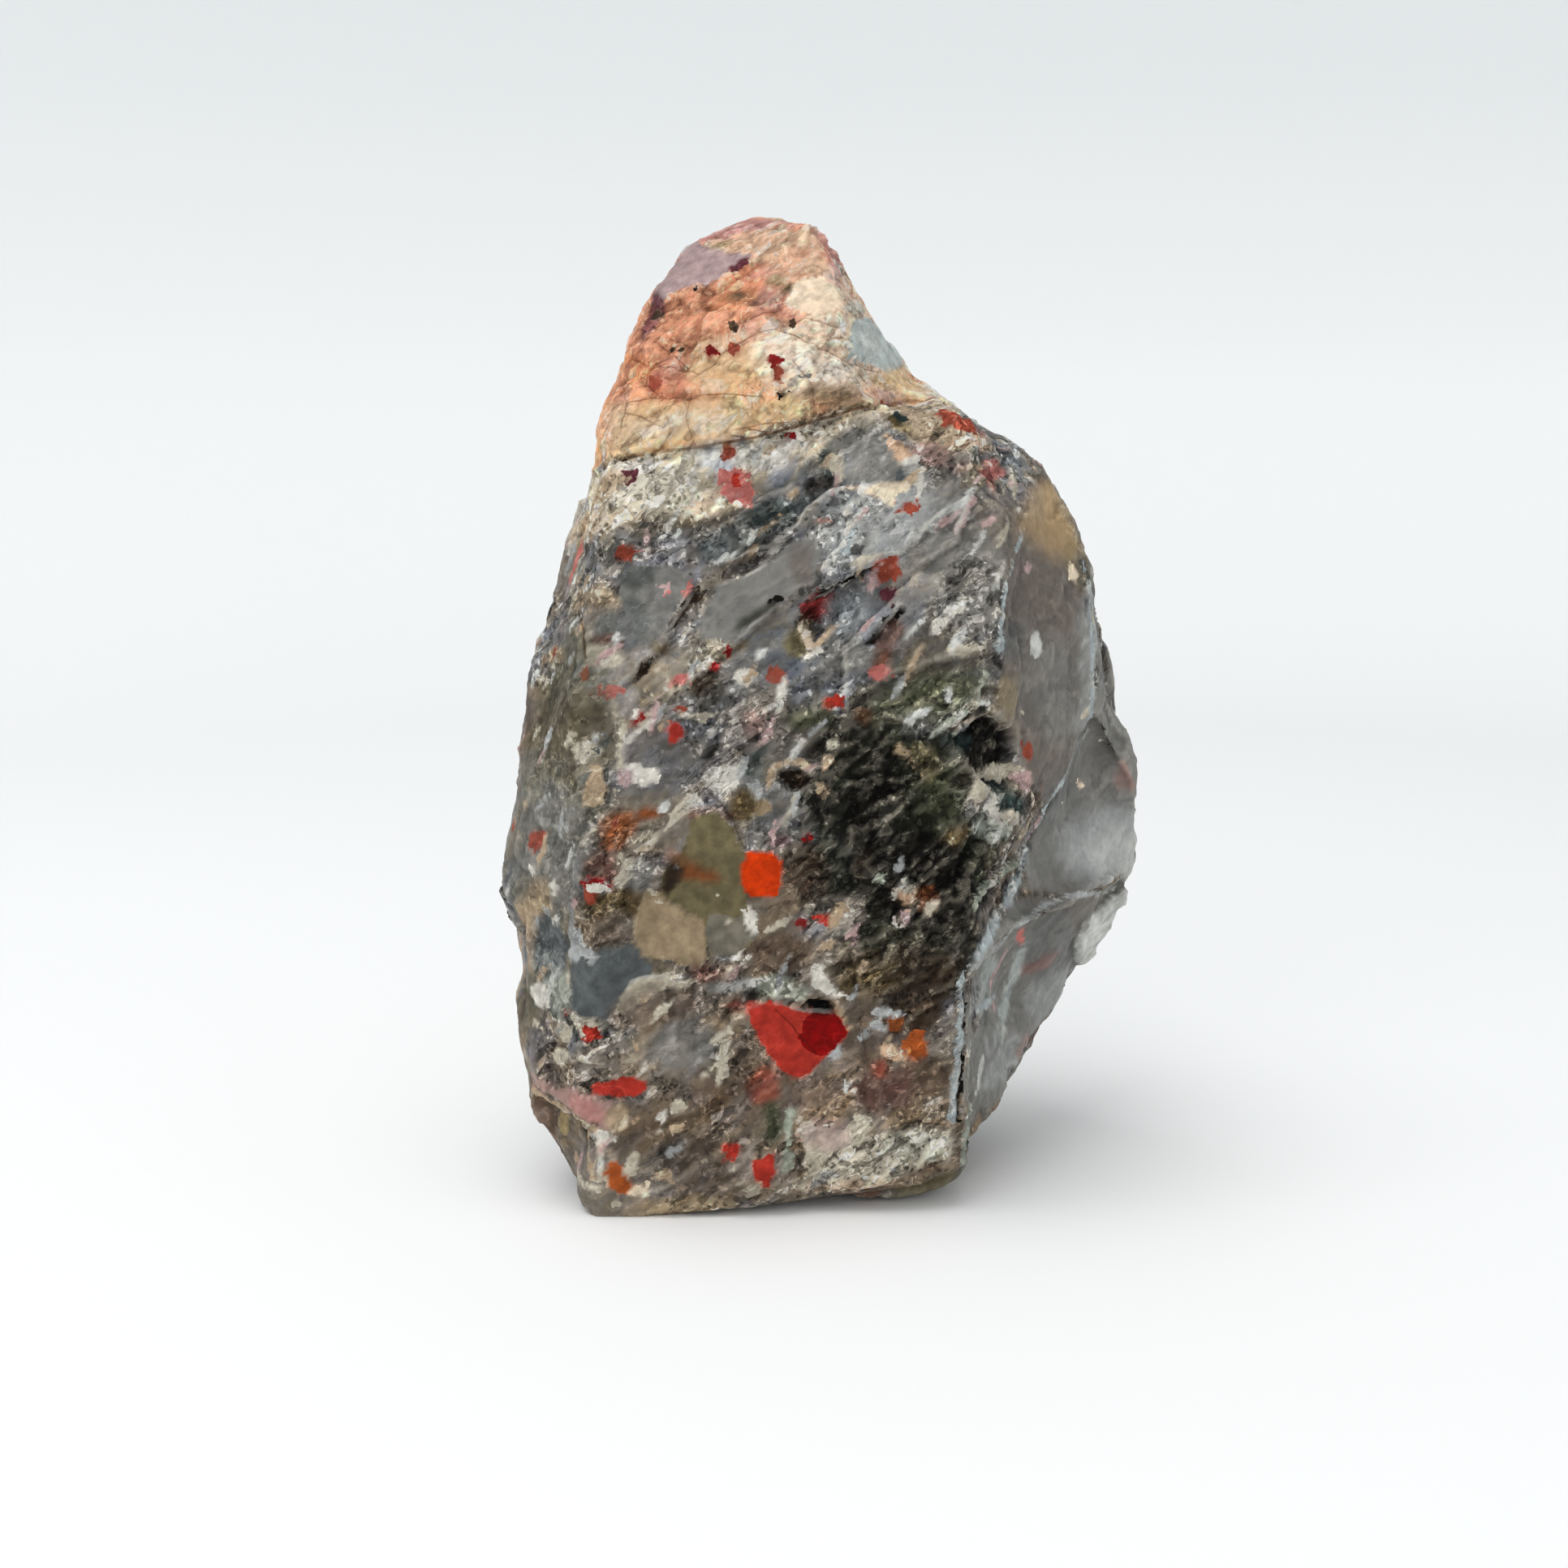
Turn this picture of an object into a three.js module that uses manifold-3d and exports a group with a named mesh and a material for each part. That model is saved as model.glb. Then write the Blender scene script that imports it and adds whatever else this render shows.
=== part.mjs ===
// Rough bloodstone: one broken lump of jasper and chalcedony, standing on a small flat spot.
// Millimetres, +Z up, -Y towards the viewer, origin at the middle of the footprint on the resting plane.
import * as THREE from "three";
import { ConvexGeometry } from "three/addons/geometries/ConvexGeometry.js";
import { ImprovedNoise } from "three/addons/math/ImprovedNoise.js";
import { mergeVertices } from "three/addons/utils/BufferGeometryUtils.js";
import Module from "manifold-3d";

// Driving dimensions of the finished stone.
const WIDTH = 55;
const DEPTH = 36;
const HEIGHT = 80;

// Broken surface: longest triangle side, then wavelength and height of each layer of unevenness.
const LONGEST_SIDE = 2.3;
const SWELL = { wavelength: 12, height: 0.7 };
const GRAIN = { wavelength: 4.8, height: 0.35 };

// The flat spot underneath stays flat: the unevenness grows from nothing over this height.
const FOOT_FADE = 3;

// Cutters.
const DOME_SIDES = 16;
const DOME_RINGS = 4;
const CLEAR = 2;
const FAR = 120;
const SLIVER = 0.02;
const FLAT_ENOUGH = 0.085;
const FLAT_NEIGHBOURS = 0.998;
const SWAP_ROUNDS = 12;

const wasm = await Module();
wasm.setup();

const UP = new THREE.Vector3(0, 0, 1);
const vector = ([x, y, z]) => new THREE.Vector3(x, y, z);

// A closed three.js geometry as a solid that can be joined and cut.
function solidOf(geometry) {
  const bare = geometry.index ? geometry.toNonIndexed() : geometry.clone();
  bare.deleteAttribute("normal");
  bare.deleteAttribute("uv");
  const merged = mergeVertices(bare, 1e-4);
  return new wasm.Manifold(
    new wasm.Mesh({
      numProp: 3,
      vertProperties: new Float32Array(merged.attributes.position.array),
      triVerts: new Uint32Array(merged.index.array),
    }),
  );
}

// A solid back as a three.js geometry.
function geometryOf(solid) {
  const mesh = solid.getMesh();
  return new THREE.BufferGeometry()
    .setAttribute("position", new THREE.BufferAttribute(new Float32Array(mesh.vertProperties), 3))
    .setIndex(new THREE.BufferAttribute(new Uint32Array(mesh.triVerts), 1));
}

// A chunk of rock with flat broken faces between the given corners.
const chunk = (corners) => solidOf(new ConvexGeometry(corners.map((c) => (c.isVector3 ? c : vector(c)))));

// Sets a cutter made along +Y on the surface so that it faces outward, with its Z kept upright.
function placed(cutter, at, outward, spin = 0) {
  const out = vector(outward).normalize();
  const side = new THREE.Vector3().crossVectors(out, UP).normalize();
  const rise = new THREE.Vector3().crossVectors(side, out);
  const frame = new THREE.Matrix4().makeBasis(side, out, rise).setPosition(...at);
  return cutter.rotateY(THREE.MathUtils.degToRad(spin)).applyMatrix4(frame);
}

// Splits off all the rock beyond a flat plane through a point.
function cleave(rock, { at, outward }) {
  const slab = new THREE.BoxGeometry(FAR, FAR, FAR).translate(0, FAR / 2, 0);
  return rock.subtract(solidOf(placed(slab, at, outward)));
}

// Knocks off a shell-shaped flake, leaving a shallow round hollow this wide and deep.
function flake(rock, { at, outward, width, depth, stretch = 1, spin = 0 }) {
  const radius = (width * width) / 8 / depth + depth / 2;
  const reach = Math.asin(Math.min(0.95, (0.8 * width) / radius));
  const profile = [];
  for (let ring = 0; ring <= DOME_RINGS; ring++) {
    const angle = (reach * ring) / DOME_RINGS;
    profile.push(new THREE.Vector2(radius * Math.sin(angle), radius * (1 - Math.cos(angle)) - depth));
  }
  profile.push(new THREE.Vector2(0.8 * width, width));
  profile.push(new THREE.Vector2(0, width));
  const dome = new THREE.LatheGeometry(profile, DOME_SIDES).scale(stretch, 1, 1);
  return rock.subtract(solidOf(placed(dome, at, outward, spin)));
}

// Breaks the rock away beside a line on a face: a step down at the line that rises back over its run.
function ledge(rock, { from, to, outward, run, drop }) {
  const start = vector(from);
  const end = vector(to);
  const out = vector(outward).normalize();
  const along = new THREE.Vector3().subVectors(end, start).normalize();
  const away = new THREE.Vector3().crossVectors(along, out).normalize();
  const at = (base, a, s, o) => base.clone().addScaledVector(along, a).addScaledVector(away, s).addScaledVector(out, o);
  const tail = 0.45 * run;
  const corners = [];
  for (const [base, sign] of [[start, -1], [end, 1]]) {
    corners.push(at(base, 0, -0.35 * drop, CLEAR), at(base, 0, 0, -drop), at(base, 0, 1.5 * run, 0.5 * drop));
    corners.push(at(base, 0, 1.5 * run, CLEAR), at(base, sign * tail, 0.08 * run, 0.05));
    corners.push(at(base, sign * tail, 0.08 * run, CLEAR));
  }
  return rock.subtract(chunk(corners));
}

// Flat faces of the front, each by a point on it and the way it faces.
const LOWER_FRONT = { at: [-4, -16.2, 18], outward: [0.02, -1, -0.06] };
const MIDDLE_FRONT = { at: [-4, -16.8, 30], outward: [0, -0.995, 0.1] };
const UPPER_FRONT = { at: [-3, -15.4, 43], outward: [-0.03, -0.95, 0.3] };
const CAP_FRONT = { at: [-6, -7.6, 66.5], outward: [-0.02, -0.88, 0.5] };

// The point of a front face at this x and z.
function on(face, x, z) {
  const [ax, ay, az] = face.at;
  const [nx, ny, nz] = face.outward;
  return [x, ay - (nx * (x - ax) + nz * (z - az)) / ny, z];
}

// The body of the stone, from its foot to the shoulder under the cap.
const BODY_CORNERS = [
  // left edge, top to bottom
  [-17.4, -2, 63], [-18.5, -3, 59.5], [-21.5, -4.5, 52.8], [-24.2, -5.5, 46.3], [-25.5, -6, 39.1],
  [-27.1, -6, 30.5], [-26.7, -6.5, 24.5], [-27, -7, 15.5], [-25.7, -7, 9.9], [-21.9, -8, 2.6],
  // front face, left side
  [-16.2, -10.5, 62], [-18, -13.5, 50], [-19.9, -17, 42], [-20.3, -18, 30], [-20.3, -17.5, 17.2], [-18.8, -16.6, 7],
  // bottom edge of the front face
  [-20.6, -14, 0.2], [-19.4, -15.4, 0], [-17, -16, 0], [-10.9, -15.4, 0.4], [-5.7, -15, 1.1], [0.3, -14.8, 1.6],
  [5.5, -14.4, 2.2], [10.9, -14, 3.2],
  // front face, right side
  [11.1, -16, 13], [11.4, -16.6, 20.6], [12.2, -17.5, 30.1], [13, -16.4, 40.5],
  [13.7, -14.5, 48], [14.7, -11.5, 55.5], [9.8, -8, 64.8], [2, -9, 64.8], [-7.5, -10, 62.5],
  // shoulder, then the right edge down to the foot
  [7, 4, 67.2], [10.2, 3, 65.8], [12.6, 1, 63], [15.4, -1, 61.7], [18.6, -2, 59.6], [21.3, 0, 55.8], [22.5, 1, 50.3],
  [24.1, 2, 44.7], [25, 3.5, 39.7], [26, 6, 34.8], [27.7, 8, 30.5], [29, 10, 27.9], [28.9, 10, 25],
  [27.6, 10.5, 20], [26.4, 12, 15.4], [21, 12, 9.8], [18.5, 11, 7.2], [16, 10, 3.9], [13.4, 8, 1.3], [11.9, -7, 2.6],
  // ridges of the right side
  [22.3, -1.5, 48.8], [22.6, -3, 41.3], [21.3, -5.5, 36.2],
  // back
  [-15, 8, 63], [-21, 8.5, 47], [-23, 8, 33], [-20, 11, 16], [-11, 14, 57], [-10, 17.5, 40], [-6, 18, 21],
  [3, 13.5, 63], [11, 18.5, 45], [15, 19.5, 27], [15, 9.5, 58], [21.5, 15, 41], [24, 15.5, 26], [19, 17, 14],
  [6, 16, 9],
  // flat spot underneath
  [-19, -5, 0], [-15, 7.5, 0], [-4, 12, 0], [8.5, 9, 0], [10, -3, 0], [3, -9, 0],
];

// The tapering cap above the crack.
const CAP_CORNERS = [
  [-18.8, -3, 55], [-18.1, -3, 60], [-18.7, -2, 64.5], [-17.5, -1, 68.4], [-15.2, 0, 72.3], [-13.2, 1, 75.3],
  [-11.4, 3, 77.5], [-9.7, 6, 79.1], [-7.5, 8, 79.9], [-4, 8, 80.1],
  [-16.3, -12, 58], [-7.5, -13, 60], [1, -11, 62.5], [5.6, -9, 64.4],
  [-14.2, -7.5, 68.5], [-12.1, -5, 72.5], [-4.3, -3, 77], [-1.1, -1.5, 79],
  [-2, 1, 80], [-0.9, 1, 79.7], [0.8, 1, 77.5], [2.2, 2, 74.9], [3.2, 3, 71.9], [4.6, 3, 70.4], [6.6, 4, 67.7],
  [8.5, 2, 64.5], [9, 3, 56], [-15.5, 8, 58], [-13.4, 8.5, 68], [-8.5, 11, 75], [-4, 13, 66], [-2, 10.5, 78.5],
  [4.6, 10.5, 66], [4, 13.5, 56],
];

const CLEAVED = [
  LOWER_FRONT,
  MIDDLE_FRONT,
  UPPER_FRONT,
  CAP_FRONT,
  // band along the left edge of the front
  { at: [-22.2, -13, 30], outward: [-0.8, -0.6, 0.02] },
  // smooth face right of the long front edge, then the underside of the right flank
  { at: [13.2, -14.7, 46.8], outward: [0.779, -0.627, -0.03] },
  { at: [11, 8, 1.6], outward: [0.675, -0.04, -0.737] },
];

const BITES = [
  // hollow grey face of the right flank, between its two ridges
  [
    [22.8, -3, 42.5], [21.6, -5.2, 36.4], [18.2, -8.4, 30.7], [14.6, -12, 25.4], [11.7, -16.2, 21.8],
    [27.9, 9.4, 24.6], [23, 1.8, 24.2], [17.6, -5.5, 23], [28.6, 9.6, 28], [25.6, 5, 35.5],
    [21, 1.6, 30], [23.6, 4, 31], [36, -12, 26], [30, -16, 38], [20, -22, 23],
  ],
  // face below it, down to the thin plate along the front edge
  [
    [11.6, -18, 21.2], [11.5, -18, -1], [11.9, -9, 19.4], [12.1, -8, -1], [27.2, 10, 24], [26.6, 12.6, 15],
    [22.4, 12.8, 9], [19, 4, 15], [20, -24, 21], [20, -24, -1], [38, 0, 24], [36, 2, 3],
  ],
  // recess under the lip at the lower left
  [
    [-26.5, -9, 11.2], [-24.4, -14.6, 10.6], [-17.8, -17.6, 6.6], [-23.2, -9.6, 9.4], [-20.6, -14, 6.4],
    [-22.6, -7.6, 1], [-21, -13.8, -1], [-31, -18, 9], [-24, -24, 5], [-28, -20, -2],
  ],
];

const LEDGES = [
  // slanting broken ledges across the upper front
  { from: on(UPPER_FRONT, -9.5, 50.6), to: on(UPPER_FRONT, -0.5, 56), run: 5, drop: 1.1 },
  { from: on(UPPER_FRONT, -1.4, 48.4), to: on(UPPER_FRONT, 6, 52.4), run: 4.5, drop: 1.2 },
  { from: on(UPPER_FRONT, -16, 49), to: on(UPPER_FRONT, -10.5, 54.5), run: 4, drop: 0.8 },
  { from: on(UPPER_FRONT, 3.5, 44.6), to: on(UPPER_FRONT, 11, 50), run: 4, drop: 0.9 },
  { from: on(UPPER_FRONT, 3, 57), to: on(UPPER_FRONT, 10, 60), run: 3.5, drop: 0.8 },
  { from: on(MIDDLE_FRONT, -15, 40.5), to: on(UPPER_FRONT, -6, 45.5), run: 4, drop: 0.9 },
  // the step under the crack below the cap
  { from: on(CAP_FRONT, -17, 59.7), to: on(CAP_FRONT, -4, 62.8), run: 5, drop: 0.9 },
  { from: on(CAP_FRONT, -3.7, 62.9), to: on(CAP_FRONT, 8, 65.6), run: 5, drop: 0.9 },
].map((step) => ({ outward: UPPER_FRONT.outward, ...step }));

const FLAKES = [
  // smooth shallow faces of the lower front
  { at: on(LOWER_FRONT, -9.4, 27.2), outward: LOWER_FRONT.outward, width: 14, depth: 0.45, stretch: 0.6, spin: 10 },
  { at: on(LOWER_FRONT, -12.6, 23.6), outward: [-0.12, -1, 0.05], width: 7, depth: 0.4 },
  { at: on(LOWER_FRONT, -17.2, 20.8), outward: [0.06, -1, 0.08], width: 8, depth: 0.45 },
  { at: on(LOWER_FRONT, 4, 9), outward: [0.1, -1, 0.1], width: 9, depth: 0.6, stretch: 1.3 },
  // hollows beside the long front edge
  { at: on(MIDDLE_FRONT, 11.6, 39.6), outward: [0.3, -1, 0.1], width: 5, depth: 0.9, stretch: 1.4, spin: 20 },
  { at: on(MIDDLE_FRONT, 13.4, 35.2), outward: [0.6, -0.8, 0], width: 5.5, depth: 1 },
  { at: on(MIDDLE_FRONT, 12.4, 28), outward: [0.4, -1, -0.1], width: 5, depth: 0.8, stretch: 0.7, spin: 35 },
  // dents in the left outline
  { at: [-26.8, -7, 21], outward: [-0.95, -0.3, 0], width: 8.5, depth: 1.4 },
  { at: [-21, -4.5, 54.5], outward: [-0.93, -0.25, 0.3], width: 11, depth: 1.2 },
  { at: [19, 6, 8.5], outward: [0.7, -0.25, -0.65], width: 9, depth: 0.9 },
  // cap: mauve corner, right side, notch in the top
  { at: [-12, -3, 74.5], outward: [-0.5, -0.75, 0.5], width: 8, depth: 0.8 },
  { at: [4.2, -2.5, 69.8], outward: [0.8, -0.5, 0.35], width: 7, depth: 0.5, stretch: 1.2 },
  { at: [-2.6, 2, 80.3], outward: [0.1, 0, 1], width: 3, depth: 0.7 },
  // back and underside
  { at: [-7, 17.4, 33], outward: [-0.1, 1, 0.05], width: 26, depth: 2.4, stretch: 0.8, spin: 25 },
  { at: [9, 16.6, 50], outward: [0.15, 0.93, 0.35], width: 19, depth: 1.7 },
  { at: [-16.5, 11, 50], outward: [-0.62, 0.75, 0.25], width: 17, depth: 1.4 },
  { at: [-14.5, 13.5, 17], outward: [-0.5, 0.82, -0.3], width: 16, depth: 1.5 },
  { at: [14, 18.3, 20], outward: [0.3, 0.9, -0.3], width: 17, depth: 1.4, stretch: 1.2 },
  { at: [-3.5, 11.6, 71], outward: [0, 0.97, 0.22], width: 13, depth: 1.1 },
  { at: [24, 13, 37], outward: [0.85, 0.5, 0.15], width: 15, depth: 1.2 },
  { at: [-24.5, 4, 36], outward: [-0.97, 0.2, 0.1], width: 15, depth: 1.1 },
];

// Splits every side longer than the limit at its middle, the same on both triangles that share it.
function split(corners, triangles, limit) {
  const middles = new Map();
  const length = (a, b) => corners[a].distanceTo(corners[b]);
  const middle = (a, b) => {
    if (length(a, b) <= limit) return -1;
    const key = a < b ? `${a},${b}` : `${b},${a}`;
    if (!middles.has(key)) {
      corners.push(new THREE.Vector3().addVectors(corners[a], corners[b]).multiplyScalar(0.5));
      middles.set(key, corners.length - 1);
    }
    return middles.get(key);
  };
  return triangles.flatMap((triangle) => {
    const [a, b, c] = triangle;
    const mids = [middle(a, b), middle(b, c), middle(c, a)];
    const count = mids.filter((m) => m >= 0).length;
    if (count === 0) return [triangle];
    if (count === 3) return [[a, mids[0], mids[2]], [mids[0], b, mids[1]], [mids[2], mids[1], c], mids];
    // turn the triangle so that its first side is split, and with two splits also its second
    const turn = mids.findIndex((m, i) => m >= 0 && (count === 1 || mids[(i + 1) % 3] >= 0));
    const [p, q, r] = [0, 1, 2].map((i) => triangle[(i + turn) % 3]);
    const [pq, qr] = [mids[turn], mids[(turn + 1) % 3]];
    if (count === 1) return [[p, pq, r], [pq, q, r]];
    if (length(pq, r) < length(p, qr)) return [[pq, q, qr], [p, pq, r], [pq, qr, r]];
    return [[pq, q, qr], [p, pq, qr], [p, qr, r]];
  });
}

// Swaps the shared side of flat neighbours wherever that makes the two triangles less thin.
function swap(corners, triangles) {
  const owners = new Map();
  triangles.forEach((t, i) => t.forEach((a, k) => owners.set(`${a},${t[(k + 1) % 3]}`, i)));
  const facing = (a, b, c) => new THREE.Triangle(corners[a], corners[b], corners[c]).getNormal(new THREE.Vector3());
  const shape = (a, b, c) => {
    const sides = [[a, b], [b, c], [c, a]].map(([p, q]) => corners[p].distanceToSquared(corners[q]));
    return new THREE.Triangle(corners[a], corners[b], corners[c]).getArea() / Math.max(...sides);
  };
  const done = new Set();
  triangles.forEach((triangle, i) => {
    for (let k = 0; k < 3 && !done.has(i); k++) {
      const [a, b, c] = [0, 1, 2].map((n) => triangle[(n + k) % 3]);
      const j = owners.get(`${b},${a}`);
      if (done.has(j)) continue;
      const d = triangles[j].find((n) => n !== a && n !== b);
      if (owners.has(`${c},${d}`) || owners.has(`${d},${c}`)) continue;
      const normal = facing(a, b, c);
      if (normal.dot(facing(b, a, d)) < FLAT_NEIGHBOURS) continue;
      if (facing(a, d, c).dot(normal) < FLAT_NEIGHBOURS || facing(d, b, c).dot(normal) < FLAT_NEIGHBOURS) continue;
      if (Math.min(shape(a, d, c), shape(d, b, c)) <= 1.05 * Math.min(shape(a, b, c), shape(b, a, d))) continue;
      triangles[i] = [a, d, c];
      triangles[j] = [d, b, c];
      owners.set(`${c},${d}`, i).set(`${d},${c}`, j);
      done.add(i).add(j);
    }
  });
  return done.size > 0;
}

// Even triangles no longer than the limit over the whole surface.
function refine(corners, triangles, limit) {
  for (let count = 0; count !== triangles.length; ) {
    count = triangles.length;
    for (let round = 0; round < SWAP_ROUNDS && swap(corners, triangles); round++);
    triangles = split(corners, triangles, limit);
  }
  return triangles;
}

// How far smooth noise shifts a point, so that flat faces swell and edges wander without tearing.
const noise = new ImprovedNoise();
function unevenness(corner) {
  const shift = new THREE.Vector3();
  for (const { wavelength, height } of [SWELL, GRAIN]) {
    const p = corner.clone().divideScalar(wavelength);
    shift.x += 2 * height * noise.noise(p.x + 7.3, p.y + 1.9, p.z + 4.1);
    shift.y += 2 * height * noise.noise(p.x + 31.7, p.y + 12.4, p.z + 9.2);
    shift.z += 2 * height * noise.noise(p.x + 3.6, p.y + 44.5, p.z + 21.8);
  }
  return shift.multiplyScalar(THREE.MathUtils.smoothstep(corner.z, 0, FOOT_FADE));
}

// Corners moved back by the unevenness they will get, so that they end up where they are given.
const settled = (corners) => corners.map(vector).map((corner) => corner.sub(unevenness(corner)));

let rock = chunk(settled(BODY_CORNERS)).add(chunk(settled(CAP_CORNERS)));
for (const face of CLEAVED) rock = cleave(rock, face);
for (const bite of BITES) rock = rock.subtract(chunk(bite));
for (const step of LEDGES) rock = ledge(rock, step);
for (const scar of FLAKES) rock = flake(rock, scar);
rock = rock.simplify(SLIVER);

const blank = geometryOf(rock);
const corners = [];
for (let i = 0; i < blank.attributes.position.count; i++) {
  corners.push(new THREE.Vector3().fromBufferAttribute(blank.attributes.position, i));
}
const sides = [...blank.index.array];
const rough = Array.from({ length: sides.length / 3 }, (_, i) => sides.slice(3 * i, 3 * i + 3));
const fine = refine(corners, rough, LONGEST_SIDE);
for (const corner of corners) corner.add(unevenness(corner));

const broken = solidOf(new THREE.BufferGeometry().setFromPoints(corners).setIndex(fine.flat()))
  .setTolerance(SLIVER)
  .simplify(FLAT_ENOUGH);
const geometry = geometryOf(broken);
geometry.computeBoundingBox();
const { min, max } = geometry.boundingBox;
geometry.translate(-(min.x + max.x) / 2, -(min.y + max.y) / 2, -min.z);
geometry.scale(WIDTH / (max.x - min.x), DEPTH / (max.y - min.y), HEIGHT / (max.z - min.z));

const stone = new THREE.Mesh(
  geometry,
  new THREE.MeshStandardMaterial({ color: 0x6f6c66, roughness: 0.6, metalness: 0 }),
);
stone.name = "bloodstone";

const part = new THREE.Group();
part.add(stone);

export default part;
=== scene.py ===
"""A rough bloodstone: a broken lump of grey, brown and dark green jasper under a salmon and cream cap."""
from __future__ import annotations

import logging
import math
from dataclasses import dataclass, field
from enum import Enum

import bmesh
import bpy
import numpy as np
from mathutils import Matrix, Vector
from mathutils.bvhtree import BVHTree

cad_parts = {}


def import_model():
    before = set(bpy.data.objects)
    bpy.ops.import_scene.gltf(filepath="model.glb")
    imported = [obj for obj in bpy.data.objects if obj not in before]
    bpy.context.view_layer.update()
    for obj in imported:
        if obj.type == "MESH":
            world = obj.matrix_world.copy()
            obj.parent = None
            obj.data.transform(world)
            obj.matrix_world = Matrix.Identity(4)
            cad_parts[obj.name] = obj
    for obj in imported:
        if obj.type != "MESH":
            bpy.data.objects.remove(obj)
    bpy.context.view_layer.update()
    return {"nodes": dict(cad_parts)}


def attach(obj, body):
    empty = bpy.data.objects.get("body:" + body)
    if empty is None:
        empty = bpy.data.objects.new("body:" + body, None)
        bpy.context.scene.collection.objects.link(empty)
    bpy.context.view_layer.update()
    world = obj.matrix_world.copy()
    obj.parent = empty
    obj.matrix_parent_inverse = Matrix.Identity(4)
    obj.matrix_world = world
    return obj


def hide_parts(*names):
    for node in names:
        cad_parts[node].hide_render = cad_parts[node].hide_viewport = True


log = logging.getLogger("bloodstone")
Array = np.ndarray
Pixel = tuple[float, float]
MM = 0.001

# Sizes in the photograph, in pixels, and the sides of the outlines
PIXELS_PER_MM = 14.68
SMALL_CHIP = 45
SHARD_SIDES = 7
OVAL_SIDES = 18

# The numbers behind the random patterns
SEED = 11
HASH_AXES = (73856093, 19349663, 83492791)
HASH_ROUNDS = ((15, 2246822519), (13, 3266489917))
HASH_SEEDS = (2654435, 4294967291)
CLOUD_SHIFT = 31.7
CLOUD_FADE = 0.55
CLOUD_GAIN = 1.6
SPREAD_SHARE = 0.6
TINY = 1e-12


class Tint(Enum):
    """The colours of the stone's minerals, as red, green and blue out of 255."""

    MAUVE = (178, 152, 150)
    ROSE = (190, 134, 126)
    SALMON = (204, 138, 106)
    BRIGHT_SALMON = (226, 152, 118)
    PEACH = (222, 184, 152)
    CREAM = (255, 228, 198)
    MILK = (216, 216, 210)
    MIST = (192, 200, 196)
    BONE = (200, 190, 170)
    WHITE = (222, 216, 204)
    YELLOW = (216, 184, 138)
    GOLD = (226, 192, 144)
    AMBER = (178, 148, 108)
    SAND = (184, 160, 132)
    TAN = (160, 140, 112)
    KHAKI = (150, 132, 96)
    OLIVE = (114, 104, 76)
    OLIVE_BROWN = (96, 80, 54)
    GREY_GREEN = (156, 160, 148)
    PALE_GREEN = (172, 178, 160)
    PALE_BLUE = (178, 187, 188)
    BLUE_GREY = (128, 132, 134)
    PALE_GREY = (172, 174, 172)
    GREY = (128, 126, 121)
    SLATE = (92, 96, 96)
    BROWN_GREY = (114, 106, 98)
    BROWN = (100, 82, 68)
    UMBER = (76, 58, 44)
    DARK_BROWN = (52, 40, 30)
    RUST = (132, 70, 32)
    ORANGE = (222, 62, 4)
    ORANGE_BROWN = (176, 88, 40)
    BRICK = (154, 72, 54)
    RED = (182, 54, 42)
    CRIMSON = (132, 22, 22)
    DEEP_RED = (132, 6, 4)
    PINK = (200, 116, 108)
    PALE_PINK = (196, 164, 160)
    DUSKY_PINK = (160, 128, 120)
    PURPLE = (96, 48, 56)
    PURPLE_BROWN = (94, 68, 60)
    BLACK = (14, 12, 8)
    DARK_GREEN = (27, 31, 20)
    MOSS = (78, 80, 60)
    TEAL = (44, 56, 54)

    def linear(self) -> Array:
        """The colour as linear light."""
        part = np.array(self.value) / 255.0
        return np.where(part <= 0.04045, part / 12.92, ((part + 0.055) / 1.055) ** 2.4)


@dataclass(frozen=True)
class Photo:
    """The photograph's camera: where it stands in metres, how far it tips down and how wide it sees."""

    place: tuple[float, float, float] = (-0.00382, -0.22465, 0.07232)
    pitch: float = 10.0
    lens: float = 62.0
    sensor: float = 36.0
    side: float = 1932.0

    def axes(self) -> tuple[Array, Array, Array]:
        """The camera's right, up and forward directions."""
        lean = math.radians(self.pitch)
        right = np.array((1.0, 0.0, 0.0))
        up = np.array((0.0, math.sin(lean), math.cos(lean)))
        return right, up, np.array((0.0, math.cos(lean), -math.sin(lean)))

    def ray(self, pixel: Pixel) -> Array:
        """The direction of the line of sight through a pixel.

        Args:
            pixel: Across and down in the photograph.

        Returns:
            A vector that reaches one unit forward.
        """
        right, up, forward = self.axes()
        across = (pixel[0] / self.side - 0.5) * self.sensor / self.lens
        rise = (0.5 - pixel[1] / self.side) * self.sensor / self.lens
        return forward + right * across + up * rise

    def pixels(self, places: Array) -> Array:
        """Where places in millimetres are seen in the photograph.

        Args:
            places: One row of x, y and z for each place.

        Returns:
            One row of pixels across and down for each place.
        """
        right, up, forward = self.axes()
        offset = places - np.array(self.place) / MM
        depth = offset @ forward
        scale = self.lens / self.sensor * self.side
        return np.stack([self.side / 2 + offset @ right / depth * scale,
                         self.side / 2 - offset @ up / depth * scale], axis=1)


@dataclass(frozen=True)
class Mark:
    """A mark on the stone. Its edge is sharp, or fades over some millimetres, and strays by its raggedness.

    Calm is how smooth the stone is inside it, lift how far it stands proud, or is sunk, in millimetres, and
    fray how much its sharp edge is broken up.
    """

    tint: Tint
    fade: float = 0.8
    ragged: float = 0.45
    strength: float = 1.0
    crisp: bool = False
    over: bool = False
    calm: float | None = None
    lift: float = 0.0
    fray: float = 1.0

    def corners(self) -> list[Pixel]:
        """The corners of the mark's outline in the photograph."""
        raise NotImplementedError


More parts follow.
